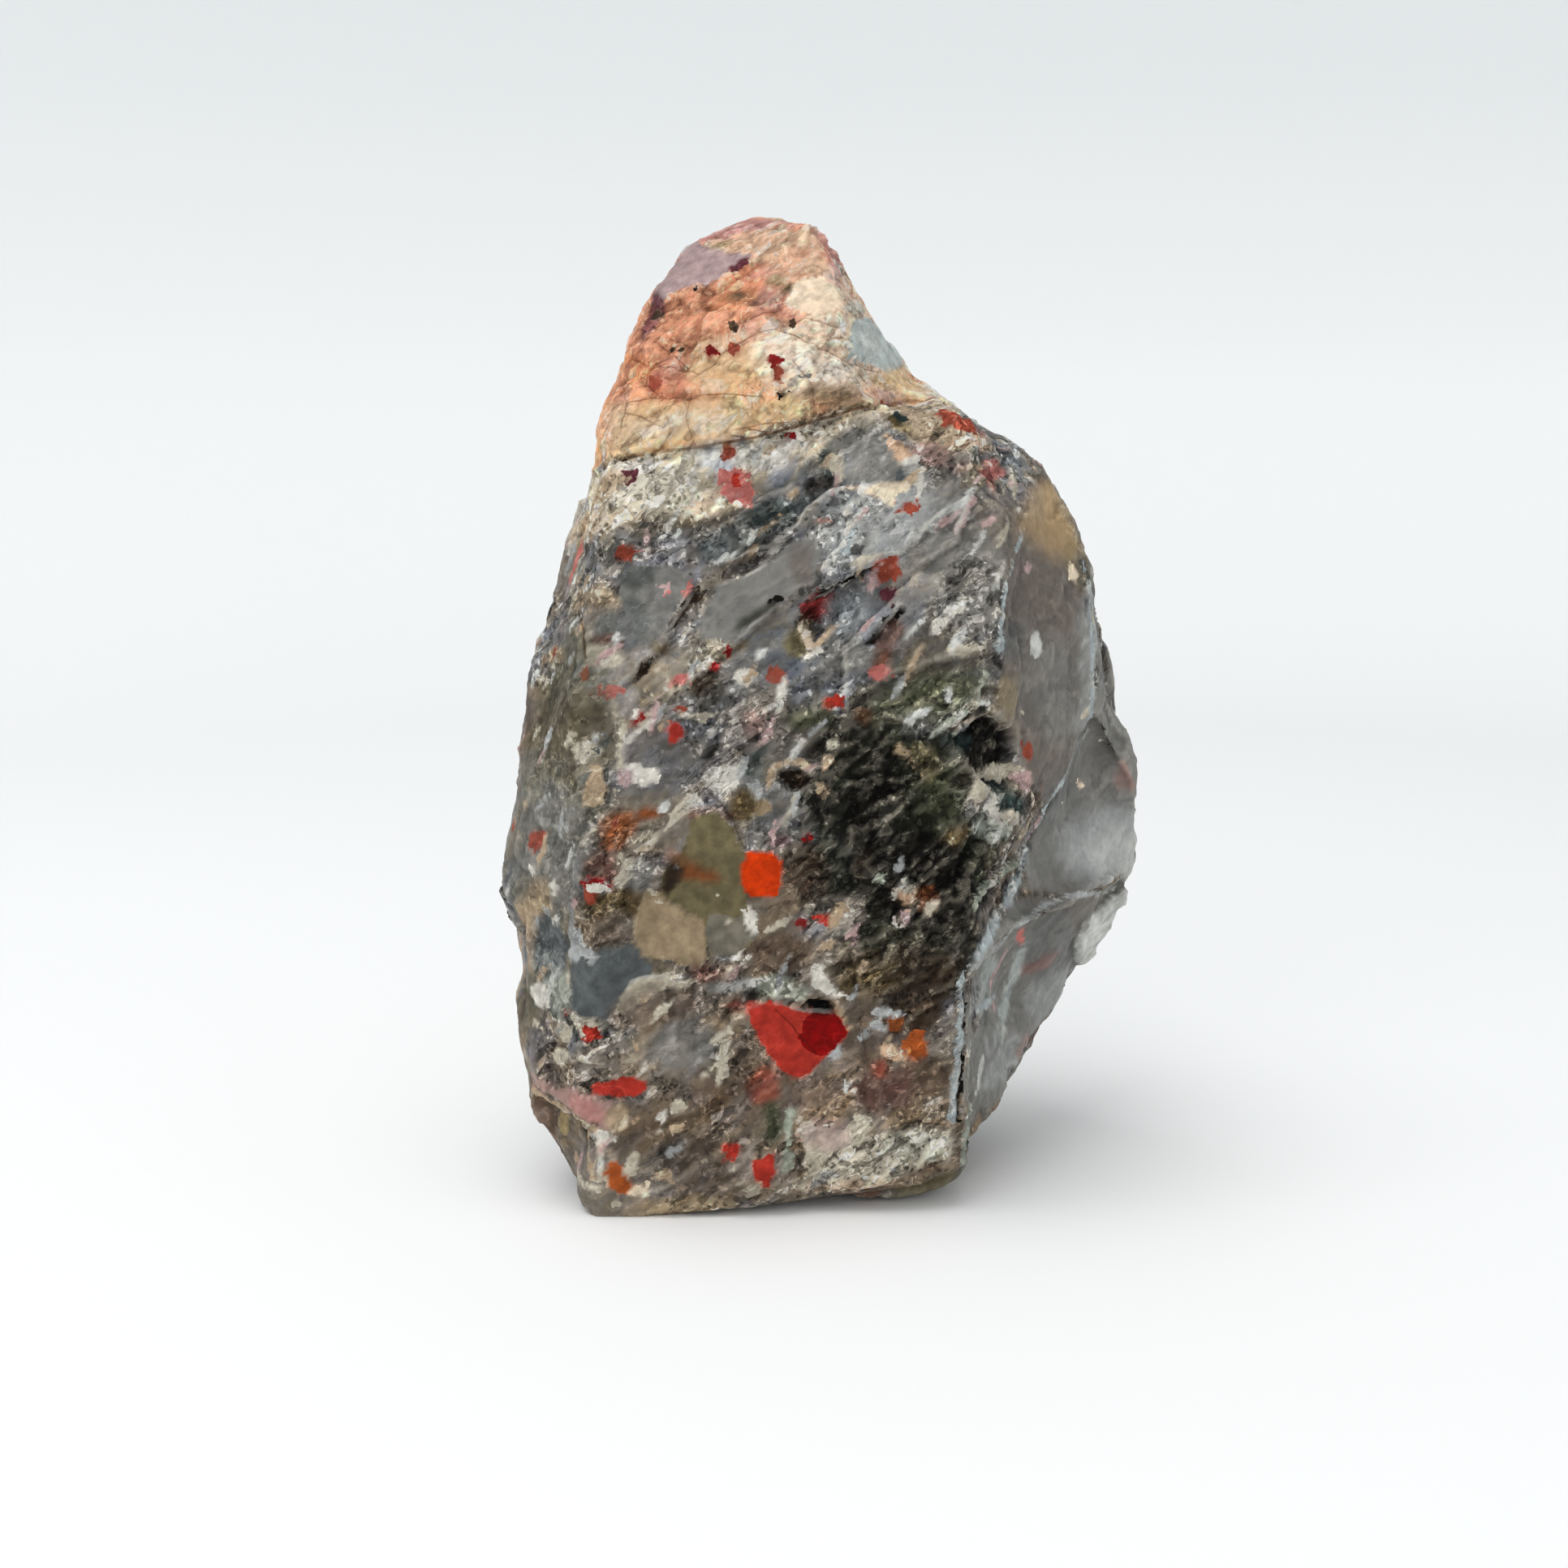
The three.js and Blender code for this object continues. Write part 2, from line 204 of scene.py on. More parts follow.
@dataclass(frozen=True)
class Oval(Mark):
    """A rounded mark by its centre, its size and its anticlockwise turn in the photograph."""

    u: float = 0.0
    v: float = 0.0
    across: float = 10.0
    down: float = 10.0
    turn: float = 0.0

    def corners(self) -> list[Pixel]:
        """The corners of the oval, or of an uneven shard in its place where the mark is small and crisp."""
        spin = math.radians(self.turn)
        angular = self.crisp and max(self.across, self.down) < SMALL_CHIP
        sides = SHARD_SIDES if angular else OVAL_SIDES
        rng = np.random.default_rng(int(self.u * 7 + self.v * 13))
        found = []
        for step in range(sides):
            angle = (step + (0.6 * rng.random() if angular else 0.0)) * math.tau / sides
            size = 0.86 + 0.4 * rng.random() if angular else 1.0
            x = math.cos(angle) * self.across / 2 * size
            y = math.sin(angle) * self.down / 2 * size
            found.append((self.u + x * math.cos(spin) + y * math.sin(spin),
                          self.v - x * math.sin(spin) + y * math.cos(spin)))
        return found


@dataclass(frozen=True)
class Shard(Mark):
    """A mark with straight sides."""

    at: tuple[Pixel, ...] = ()

    def corners(self) -> list[Pixel]:
        """The shard's own corners."""
        return list(self.at)


@dataclass(frozen=True)
class Vein(Mark):
    """A line along a path of pixels, some pixels wide."""

    path: tuple[Pixel, ...] = ()
    width: float = 4.0


@dataclass(frozen=True)
class Crack:
    """A hairline along a path of pixels, with its width in millimetres and how dark it is."""

    path: tuple[Pixel, ...]
    width: float = 0.085
    dark: float = 0.6
    depth: float = 0.2


@dataclass(frozen=True)
class Step:
    """A broken edge along a path of pixels. The stone drops by some millimetres to the path's one side."""

    path: tuple[Pixel, ...]
    drop: float
    run: float
    side: int
    lit: float = 0.5


def oval(u: float, v: float, across: float, down: float, tint: Tint, turn: float = 0.0,
         **kind: float) -> Oval:
    """A soft oval mark."""
    return Oval(tint=tint, u=u, v=v, across=across, down=down, turn=turn, **kind)


def chip(u: float, v: float, across: float, down: float, tint: Tint, turn: float = 0.0,
         **kind: float) -> Oval:
    """An oval mark with a sharp, uneven edge."""
    return oval(u, v, across, down, tint, turn, crisp=True, **{"ragged": 0.42, **kind})


def shard(tint: Tint, *at: Pixel, **kind: float) -> Shard:
    """A mark with sharp straight sides."""
    return zone(tint, *at, crisp=True, **{"ragged": 0.12, "fray": 0.5, **kind})


def zone(tint: Tint, *at: Pixel, **kind: float) -> Shard:
    """A broad patch with straight sides that fade."""
    return Shard(tint=tint, at=at, **kind)


def vein(tint: Tint, width: float, *path: Pixel, **kind: float) -> Vein:
    """A thin line with a sharp edge."""
    return Vein(tint=tint, path=path, width=width, crisp=True, **{"ragged": 0.25, **kind})


# The marks by their places in the photograph: pixels across and down, with sizes in pixels too
CRACK: tuple[Pixel, ...] = (
    (743, 574), (776, 561), (810, 556), (863, 550), (912, 542), (955, 533), (993, 522), (1032, 510),
    (1070, 498), (1120, 488), (1165, 485))

CAP_MARKS: tuple[Mark, ...] = (
    oval(835, 400, 130, 80, Tint.SALMON, fade=2.5),
    oval(930, 300, 150, 40, Tint.PEACH, 10, strength=0.8, calm=0.5),
    oval(995, 290, 56, 34, Tint.PEACH, -20, strength=0.7, calm=0.5),
    oval(975, 330, 70, 60, Tint.PEACH, -20, fade=2, strength=0.6),
    oval(1013, 281, 16, 12, Tint.BRICK, strength=0.6),
    oval(900, 450, 110, 60, Tint.YELLOW, fade=2, strength=0.7),
    zone(Tint.CREAM, (945, 395), (1000, 395), (1045, 385), (1062, 420), (1095, 465), (1060, 485),
        (1000, 492), (950, 480), (925, 440), fade=2, strength=0.75),
    oval(985, 440, 70, 46, Tint.WHITE, fade=1.5, strength=0.4),
    oval(1035, 452, 50, 30, Tint.MIST, fade=1.5, strength=0.5),
    zone(Tint.GOLD, (750, 500), (800, 494), (920, 492), (990, 500), (985, 520), (900, 540), (800, 556),
        (752, 566), fade=1.4, strength=0.75),
    oval(1060, 470, 56, 40, Tint.BONE, strength=0.7),
    oval(850, 520, 150, 34, Tint.CREAM, 6, fade=1.5, strength=0.55),
    oval(765, 522, 40, 64, Tint.SAND, fade=1.5, strength=0.6),
    zone(Tint.MAUVE, (858, 297), (872, 308), (926, 313), (905, 330), (868, 348), (806, 371), (812, 345),
        (828, 316), (842, 300), crisp=True, ragged=0.25, calm=0.92, fray=0.5),
    zone(Tint.ROSE, (860, 290), (885, 274), (915, 262), (957, 258), (960, 271), (925, 283), (880, 298),
        (862, 300), fade=0.4, calm=0.6),
    oval(893, 302, 26, 8, Tint.KHAKI, 10, strength=0.8), chip(908, 325, 32, 13, Tint.PURPLE, 28),
    zone(Tint.PURPLE, (806, 366), (820, 374), (806, 400), (792, 420), (784, 410), fade=0.5, strength=0.9),
    oval(868, 397, 62, 28, Tint.BRIGHT_SALMON, 6, fade=0.5, calm=0.6),
    oval(905, 362, 26, 17, Tint.OLIVE_BROWN, 10, strength=0.8),
    oval(870, 375, 26, 8, Tint.RUST, strength=0.9),
    oval(930, 368, 50, 30, Tint.BROWN, fade=1.4, strength=0.45),
    oval(955, 345, 34, 18, Tint.KHAKI, 10, strength=0.7), oval(968, 357, 24, 10, Tint.OLIVE_BROWN, 35),
    zone(Tint.CREAM, (968, 376), (983, 348), (1013, 341), (1044, 358), (1041, 381), (1003, 389), crisp=True,
        fray=0.6, ragged=0.2, calm=0.75),
    oval(1010, 325, 40, 22, Tint.PEACH, -25, strength=0.8),
    oval(890, 424, 60, 22, Tint.PEACH, 22, strength=0.8),
    oval(780, 442, 26, 26, Tint.ORANGE_BROWN, strength=0.45),
    oval(822, 470, 44, 40, Tint.BRICK, strength=0.45, calm=0.3),
    chip(808, 470, 12, 16, Tint.BRICK, -15, strength=0.8),
    oval(760, 478, 36, 36, Tint.SALMON, strength=0.7), oval(980, 503, 64, 22, Tint.GOLD, -12),
    oval(905, 508, 30, 36, Tint.GOLD, strength=0.9),
    # painted shade: a darker olive-brown patch on the cap's lower right
    oval(1030, 490, 80, 34, Tint.OLIVE_BROWN, -14, fade=1.2, strength=0.85),
    oval(1005, 512, 60, 12, Tint.OLIVE_BROWN, 14, strength=0.7),
    zone(Tint.MIST, (1052, 396), (1070, 388), (1100, 420), (1114, 446), (1096, 460), (1070, 447),
        (1048, 440), crisp=True, fray=0.6, ragged=0.3, calm=0.8),
    # a painted highlight on the grey-green facet
    oval(1072, 420, 28, 24, Tint.MILK, fade=1, strength=0.7),
    zone(Tint.GREY_GREEN, (1028, 304), (1042, 308), (1050, 350), (1043, 360), (1035, 335), fade=0.4),
    oval(1058, 380, 30, 20, Tint.PALE_GREEN, -40, strength=0.8),
    oval(1106, 470, 64, 24, Tint.GOLD, -8, strength=0.8),
    shard(Tint.CRIMSON, (1144, 487), (1166, 480), (1176, 500), (1162, 508), (1149, 500)),
    chip(1168, 508, 34, 16, Tint.BRICK, -28), chip(1190, 521, 30, 12, Tint.BRICK, -26),
    chip(876, 436, 13, 12, Tint.CRIMSON), chip(955, 446, 13, 10, Tint.CRIMSON),
    chip(961, 460, 10, 20, Tint.BRICK), chip(905, 433, 10, 18, Tint.BRICK, 20),
    chip(829, 429, 8, 8, Tint.DARK_BROWN), chip(841, 426, 7, 9, Tint.UMBER),
    chip(903, 402, 9, 10, Tint.UMBER), chip(975, 394, 10, 9, Tint.UMBER), chip(959, 484, 9, 6, Tint.BLACK),
    chip(992, 464, 9, 9, Tint.GREY), chip(1110, 510, 14, 12, Tint.TEAL),
    chip(1106, 519, 10, 8, Tint.OLIVE_BROWN), chip(856, 358, 9, 6, Tint.BLACK, 30),
    chip(808, 388, 14, 5, Tint.UMBER, 20), chip(1094, 491, 12, 6, Tint.BRICK),
)

BAND_MARKS: tuple[Mark, ...] = (
    oval(805, 605, 130, 70, Tint.BONE, fade=2, strength=0.8),
    zone(Tint.SAND, (742, 565), (765, 585), (752, 625), (735, 655), (700, 665), (715, 620), fade=1.5),
    oval(720, 636, 40, 26, Tint.PEACH, 20, strength=0.7), oval(775, 638, 70, 14, Tint.SAND, strength=0.6),
    oval(1150, 528, 110, 46, Tint.SAND, -22, fade=1.5, strength=0.8),
    oval(935, 560, 64, 32, Tint.WHITE, 10), oval(872, 618, 56, 26, Tint.CREAM, 18, strength=0.8),
    chip(775, 585, 14, 12, Tint.PURPLE, 30), chip(898, 554, 10, 14, Tint.BRICK, 15),
    chip(973, 538, 13, 8, Tint.CRIMSON, 10), chip(908, 603, 42, 44, Tint.PINK, 60, ragged=0.5),
    chip(908, 593, 15, 12, Tint.RED, over=True), oval(905, 610, 12, 6, Tint.PALE_PINK),
    oval(1110, 525, 24, 16, Tint.KHAKI), oval(1108, 513, 12, 12, Tint.SLATE),
    shard(Tint.PEACH, (1088, 530), (1102, 541), (1124, 556), (1118, 566), (1109, 568), (1096, 550)),
    oval(1160, 562, 80, 26, Tint.DUSKY_PINK, -20, strength=0.8),
    oval(1183, 563, 40, 18, Tint.BROWN_GREY, 20), oval(1205, 543, 50, 16, Tint.PEACH, -20, strength=0.8),
    oval(1216, 538, 28, 8, Tint.ORANGE_BROWN, -22, strength=0.7),
    oval(1225, 580, 24, 40, Tint.PINK, ragged=0.6, fade=0.5, strength=0.8),
    oval(1265, 565, 30, 20, Tint.SAND, -35, strength=0.8),
)

UPPER_MARKS: tuple[Mark, ...] = (
    oval(1080, 640, 150, 110, Tint.PALE_GREY, 30, fade=3, strength=0.75),
    oval(1190, 700, 110, 170, Tint.GREY, 20, fade=3, strength=0.8),
    oval(1235, 630, 60, 60, Tint.BROWN_GREY, fade=2, strength=0.5),
    zone(Tint.SLATE, (905, 640), (935, 618), (975, 612), (990, 598), (1012, 588), (1018, 600), (992, 622),
        (975, 650), (950, 668), (900, 690), (868, 700), (858, 680), (868, 655), fade=0.8, strength=0.9),
    oval(945, 632, 64, 26, Tint.TEAL, 20, strength=0.8),
    oval(1018, 572, 22, 42, Tint.TEAL, 10, strength=0.85),
    oval(1004, 594, 34, 14, Tint.DARK_BROWN, 25, strength=0.7), oval(880, 672, 26, 26, Tint.SLATE),
    chip(1033, 572, 15, 34, Tint.BONE, 8),
    zone(Tint.GREY, (1045, 560), (1060, 535), (1086, 528), (1097, 547), (1112, 572), (1112, 592),
        (1090, 598), (1050, 597), (1040, 585), fade=0.5, calm=0.7),
    chip(1110, 588, 10, 10, Tint.SLATE),
    shard(Tint.CREAM, (1042, 600), (1120, 595), (1121, 602), (1100, 607), (1100, 622), (1085, 614),
        (1060, 604)),
    chip(1119, 625, 23, 19, Tint.BRICK), chip(1012, 642, 22, 8, Tint.DUSKY_PINK),
    shard(Tint.PINK, (706, 674), (733, 670), (739, 686), (719, 712), (700, 727), (683, 727), (683, 708),
        (692, 684), ragged=0.3, calm=0.75),
    oval(700, 722, 40, 22, Tint.RED, 50, strength=0.35), chip(770, 679, 20, 12, Tint.BRICK, 10),
    oval(735, 745, 80, 70, Tint.BROWN_GREY, fade=1.5), oval(720, 735, 46, 24, Tint.TAN, 20, strength=0.7),
    shard(Tint.GREY, (780, 702), (840, 698), (851, 720), (835, 747), (812, 782), (800, 806), (788, 790),
        (768, 750), (763, 725), ragged=0.4, calm=0.9),
    oval(779, 765, 34, 66, Tint.SLATE, fade=1.4, strength=0.6, calm=0.5),
    # the first oval on the next line is painted shade, a darker green band along the top of the grey facet
    oval(785, 712, 44, 22, Tint.TEAL, 20, strength=0.6), chip(820, 724, 12, 10, Tint.PALE_PINK),
    chip(822, 732, 8, 9, Tint.PINK), chip(845, 727, 18, 8, Tint.PINK, 50),
    oval(750, 772, 40, 34, Tint.SLATE, strength=0.7), oval(748, 790, 34, 12, Tint.PURPLE_BROWN),
    oval(700, 790, 36, 46, Tint.BROWN, strength=0.6), oval(684, 786, 26, 12, Tint.UMBER, strength=0.7),
    chip(684, 805, 19, 17, Tint.SAND), chip(684, 803, 9, 9, Tint.BRICK, over=True),
    oval(745, 812, 56, 24, Tint.BONE, -10, fade=0.5), oval(700, 828, 44, 16, Tint.TAN, strength=0.6),
    zone(Tint.GREY, (880, 722), (920, 710), (950, 692), (975, 665), (1002, 660), (1012, 690), (1000, 715),
        (960, 745), (930, 772), (895, 791), (862, 788), (865, 760), (876, 740), fade=0.3, ragged=0.3,
        calm=0.88),
    oval(930, 760, 66, 16, Tint.DARK_GREEN, 35, fade=0.9, strength=0.85),
    chip(958, 738, 15, 8, Tint.BLACK, 25), oval(985, 695, 36, 56, Tint.BROWN_GREY, strength=0.8),
    chip(970, 713, 11, 9, Tint.PINK), chip(1008, 745, 44, 24, Tint.CRIMSON, 28, ragged=0.5, strength=0.6),
    oval(995, 762, 26, 20, Tint.BLACK, 40, strength=0.8),
    vein(Tint.BLACK, 7, (1008, 736), (1030, 726), (1060, 708), (1082, 700), lift=-0.6),
    vein(Tint.BLACK, 5, (1110, 752), (1092, 768), (1078, 786), (1070, 792), lift=-0.4),
    chip(1089, 699, 30, 18, Tint.BRICK, 8), chip(1095, 732, 14, 16, Tint.PURPLE),
    oval(1093, 795, 60, 26, Tint.PURPLE_BROWN, 60, strength=0.9),
    oval(1088, 815, 24, 14, Tint.RUST, 60, strength=0.5),
    oval(1045, 755, 56, 40, Tint.BLUE_GREY, 20, strength=0.8), oval(1040, 810, 60, 36, Tint.GREY, 10),
    vein(Tint.DARK_BROWN, 4, (862, 728), (845, 748), (823, 781), (800, 808), (785, 830), ragged=0.6,
        lift=-0.3),
    oval(818, 796, 40, 24, Tint.OLIVE_BROWN, 20, strength=0.9),
    oval(868, 838, 22, 52, Tint.DARK_BROWN, -40),
    oval(900, 800, 50, 16, Tint.OLIVE_BROWN, 25, strength=0.8), chip(897, 799, 12, 10, Tint.CRIMSON),
    chip(880, 821, 12, 10, Tint.CRIMSON, 20), oval(985, 790, 30, 40, Tint.OLIVE, -15),
    shard(Tint.WHITE, (998, 790), (1014, 799), (1000, 809), (990, 812)),
    shard(Tint.CREAM, (985, 769), (994, 775), (1002, 790), (996, 800), (990, 782)),
    shard(Tint.WHITE, (906, 828), (932, 822), (928, 836), (920, 846), (908, 838)),
    chip(955, 830, 26, 22, Tint.BRICK, 20, strength=0.8), chip(836, 838, 34, 9, Tint.PINK, 34),
    chip(748, 853, 24, 20, Tint.PINK), vein(Tint.BONE, 6, (754, 862), (758, 880), (766, 897)),
    chip(788, 886, 14, 18, Tint.CRIMSON, -20), chip(831, 903, 16, 24, Tint.RED, -20, strength=0.85),
    chip(838, 872, 16, 11, Tint.BRICK), vein(Tint.BONE, 5, (836, 878), (860, 884), (876, 880)),
    vein(Tint.WHITE, 4, (904, 892), (908, 876), (914, 864)), chip(1027, 865, 28, 18, Tint.RED, 25),
    chip(1084, 829, 27, 17, Tint.PINK, 18, ragged=0.4), oval(1065, 885, 22, 24, Tint.RUST),
    chip(719, 828, 11, 9, Tint.BRICK), oval(700, 892, 120, 90, Tint.BROWN, fade=3, strength=0.8),
    oval(660, 850, 30, 30, Tint.TAN, strength=0.4), oval(940, 880, 70, 60, Tint.BROWN_GREY, 30, fade=2),
    oval(932, 893, 30, 26, Tint.DUSKY_PINK, 20, strength=0.7),
    oval(1000, 885, 60, 30, Tint.MOSS, 10, fade=1.5),
    vein(Tint.PALE_GREY, 3, (1166, 628), (1158, 640), (1148, 650), lift=0.2),
    vein(Tint.PALE_PINK, 4, (1198, 615), (1188, 640), (1175, 660), ragged=0.4, strength=0.7, lift=0.2),
    vein(Tint.WHITE, 5, (1172, 752), (1160, 764), (1150, 780), ragged=0.5),
    vein(Tint.BONE, 3, (1205, 800), (1185, 803), (1170, 800)),
    vein(Tint.PALE_BLUE, 3, (1050, 655), (1048, 668), (1038, 682)),
)

RIGHT_MARKS: tuple[Mark, ...] = (
    zone(Tint.BROWN_GREY, (1250, 655), (1290, 640), (1330, 690), (1346, 780), (1350, 830), (1343, 890),
        (1322, 945), (1292, 995), (1262, 950), (1250, 900), (1232, 860), (1234, 800), (1240, 720), fade=0.8,
        calm=0.85),
    oval(1300, 850, 70, 130, Tint.GREY, fade=3, strength=0.8),
    zone(Tint.PALE_GREY, (1326, 740), (1345, 735), (1362, 860), (1352, 890), (1330, 960), (1318, 930),
        (1333, 850), fade=1.2, strength=0.55),
    zone(Tint.AMBER, (1268, 600), (1302, 588), (1320, 640), (1334, 676), (1312, 690), (1280, 672),
        (1258, 650), fade=2.6, ragged=0.4, calm=0.95, strength=0.85),
    oval(1300, 625, 30, 60, Tint.GOLD, 20, fade=2, strength=0.3),
    oval(1326, 700, 26, 60, Tint.OLIVE, 12, fade=2, strength=0.4),
    oval(1290, 582, 36, 16, Tint.GREY_GREEN, -40),
    oval(1245, 860, 24, 60, Tint.KHAKI, fade=1.2, strength=0.5),
    zone(Tint.GREY, (1338, 700), (1352, 700), (1370, 800), (1384, 890), (1406, 960), (1425, 1000),
        (1420, 1070), (1388, 1092), (1310, 1106), (1258, 1092), (1275, 1030), (1312, 960), (1345, 890),
        (1352, 820), fade=0.5, calm=0.95),
    # The next two ovals paint a sheen onto the lower right of the face: a painted highlight in its colour.
    oval(1362, 1040, 110, 90, Tint.PALE_GREY, 30, fade=3, strength=0.9),
    oval(1376, 1050, 64, 50, Tint.MILK, fade=2.5, strength=0.55),
    oval(1300, 985, 40, 70, Tint.SLATE, -30, fade=2, strength=0.5),
    oval(1345, 760, 14, 130, Tint.PALE_BLUE, 5, fade=0.8, strength=0.5),
    zone(Tint.GREY, (1243, 1108), (1310, 1106), (1390, 1090), (1382, 1170), (1340, 1240), (1280, 1300),
        (1262, 1320), (1240, 1345), (1190, 1390), (1186, 1225), (1205, 1180), fade=0.5, calm=0.85),
    zone(Tint.MILK, (1396, 1088), (1392, 1134), (1381, 1165), (1358, 1195), (1339, 1206), (1327, 1183),
        (1325, 1165), (1332, 1137), (1362, 1110), crisp=True, fray=0.3, ragged=0.2, calm=0.9, lift=0.6),
    zone(Tint.BROWN_GREY, (1313, 1107), (1340, 1104), (1376, 1096), (1352, 1112), (1333, 1132),
        (1324, 1160), (1316, 1125), fade=0.4, calm=0.9, strength=0.7),
    zone(Tint.SLATE, (1266, 1143), (1314, 1110), (1330, 1183), (1290, 1215), (1262, 1190), fade=1,
        strength=0.4, calm=0.9),
    zone(Tint.PALE_GREY, (1262, 1230), (1300, 1200), (1333, 1188), (1342, 1205), (1300, 1245), (1275, 1262),
        fade=1.2, strength=0.6, calm=0.9),
    oval(1281, 1189, 60, 14, Tint.BRICK, 25, strength=0.3),
    oval(1215, 1240, 50, 44, Tint.TEAL, 30, strength=0.45),
    zone(Tint.MIST, (1250, 1176), (1262, 1170), (1256, 1205), (1246, 1240), (1238, 1285), (1228, 1290),
        (1232, 1240), fade=0.4, ragged=0.5, strength=0.6),
    oval(1210, 1215, 14, 70, Tint.MIST, -28, fade=0.6, strength=0.5, ragged=0.6),
    oval(1245, 790, 36, 46, Tint.SLATE, fade=1.5, strength=0.6),
    chip(1269, 699, 9, 14, Tint.PALE_PINK, -30), chip(1322, 707, 9, 19, Tint.CREAM, 10),
    chip(1277, 794, 14, 22, Tint.MILK, -10), chip(1262, 878, 8, 8, Tint.BONE),
    chip(1219, 867, 10, 9, Tint.WHITE), oval(1219, 880, 16, 14, Tint.MOSS),
    chip(1268, 925, 9, 19, Tint.BRICK, 12), chip(1338, 878, 7, 6, Tint.BONE),
    chip(1357, 914, 5, 5, Tint.WHITE), chip(1334, 968, 10, 12, Tint.CREAM),
    chip(1310, 992, 7, 6, Tint.CREAM), chip(1300, 1001, 10, 9, Tint.DUSKY_PINK),
    oval(1390, 955, 12, 40, Tint.DUSKY_PINK, 20, strength=0.8),
    oval(1279, 984, 34, 32, Tint.PURPLE_BROWN, 20, strength=0.6),
    zone(Tint.BLACK, (1200, 890), (1226, 880), (1251, 903), (1252, 935), (1256, 958), (1240, 975),
        (1215, 962), (1196, 935), (1176, 915), fade=0.5, lift=-1.3),
    oval(1186, 918, 50, 26, Tint.TEAL, -10), oval(1242, 988, 44, 36, Tint.TEAL, -30),
    oval(1225, 1020, 40, 30, Tint.GREY_GREEN),
    vein(Tint.PALE_GREEN, 5, (1150, 905), (1170, 890), (1190, 880), (1205, 868), (1208, 850), (1216, 832),
        lift=0.25),
    chip(1245, 953, 30, 17, Tint.BONE, 25, lift=0.3), chip(1212, 972, 17, 40, Tint.BONE, -18, lift=0.3),
    chip(1227, 1000, 8, 28, Tint.WHITE, 14), chip(1262, 962, 13, 24, Tint.PALE_PINK),
    chip(1242, 1006, 12, 10, Tint.BONE),
    vein(Tint.PALE_GREEN, 5, (1197, 1116), (1222, 1088), (1240, 1074), (1258, 1062), lift=0.35),
    zone(Tint.TEAL, (1200, 1120), (1225, 1096), (1250, 1075), (1240, 1105), (1228, 1125), (1205, 1135),
        fade=0.4, lift=-0.4),
    oval(1290, 1105, 60, 26, Tint.BROWN_GREY, 20, fade=1.5, strength=0.5),
    vein(Tint.PALE_BLUE, 5, (1262, 655), (1250, 690), (1240, 720), (1233, 760), (1228, 800), lift=0.3,
        fray=0.4),
    vein(Tint.PALE_BLUE, 4, (1333, 692), (1343, 775), (1348, 823), (1343, 887), (1332, 917), (1316, 952),
        (1300, 974), (1287, 999), (1275, 1023)),
    Vein(tint=Tint.PALE_BLUE, path=((1268, 1050), (1258, 1080), (1242, 1110), (1222, 1145), (1205, 1178)),
        width=10, fade=0.6),
    vein(Tint.PALE_GREY, 5, (1371, 1097), (1312, 1107), (1283, 1118), (1251, 1142), (1234, 1162),
        (1200, 1192)),
    shard(Tint.PALE_PINK, (1234, 1172), (1250, 1166), (1240, 1190), (1224, 1212), (1213, 1222),
        (1218, 1196)),
    chip(1257, 1152, 12, 24, Tint.PINK, -15, strength=0.7), chip(1226, 1240, 14, 18, Tint.PALE_PINK),
    vein(Tint.PALE_BLUE, 4, (1228, 1226), (1210, 1240), (1200, 1246)),
    shard(Tint.MILK, (1193, 1271), (1206, 1274), (1205, 1292), (1197, 1303), (1192, 1292)),
    shard(Tint.MILK, (1195, 1310), (1224, 1301), (1226, 1313), (1206, 1336), (1194, 1350)),
    oval(1236, 1308, 34, 80, Tint.PALE_GREY, -35, strength=0.6),
    oval(1262, 1290, 14, 30, Tint.DUSKY_PINK, -30, strength=0.7),
    oval(1218, 1290, 24, 20, Tint.PALE_GREY, strength=0.7),
    vein(Tint.BLACK, 3, (1189, 1222), (1184, 1290), (1180, 1380), lift=-0.4),
    vein(Tint.PALE_BLUE, 6, (1184, 1206), (1180, 1280), (1173, 1376), lift=0.3),
    vein(Tint.GREY_GREEN, 9, (1196, 1288), (1190, 1380), (1184, 1440), lift=0.2),
)

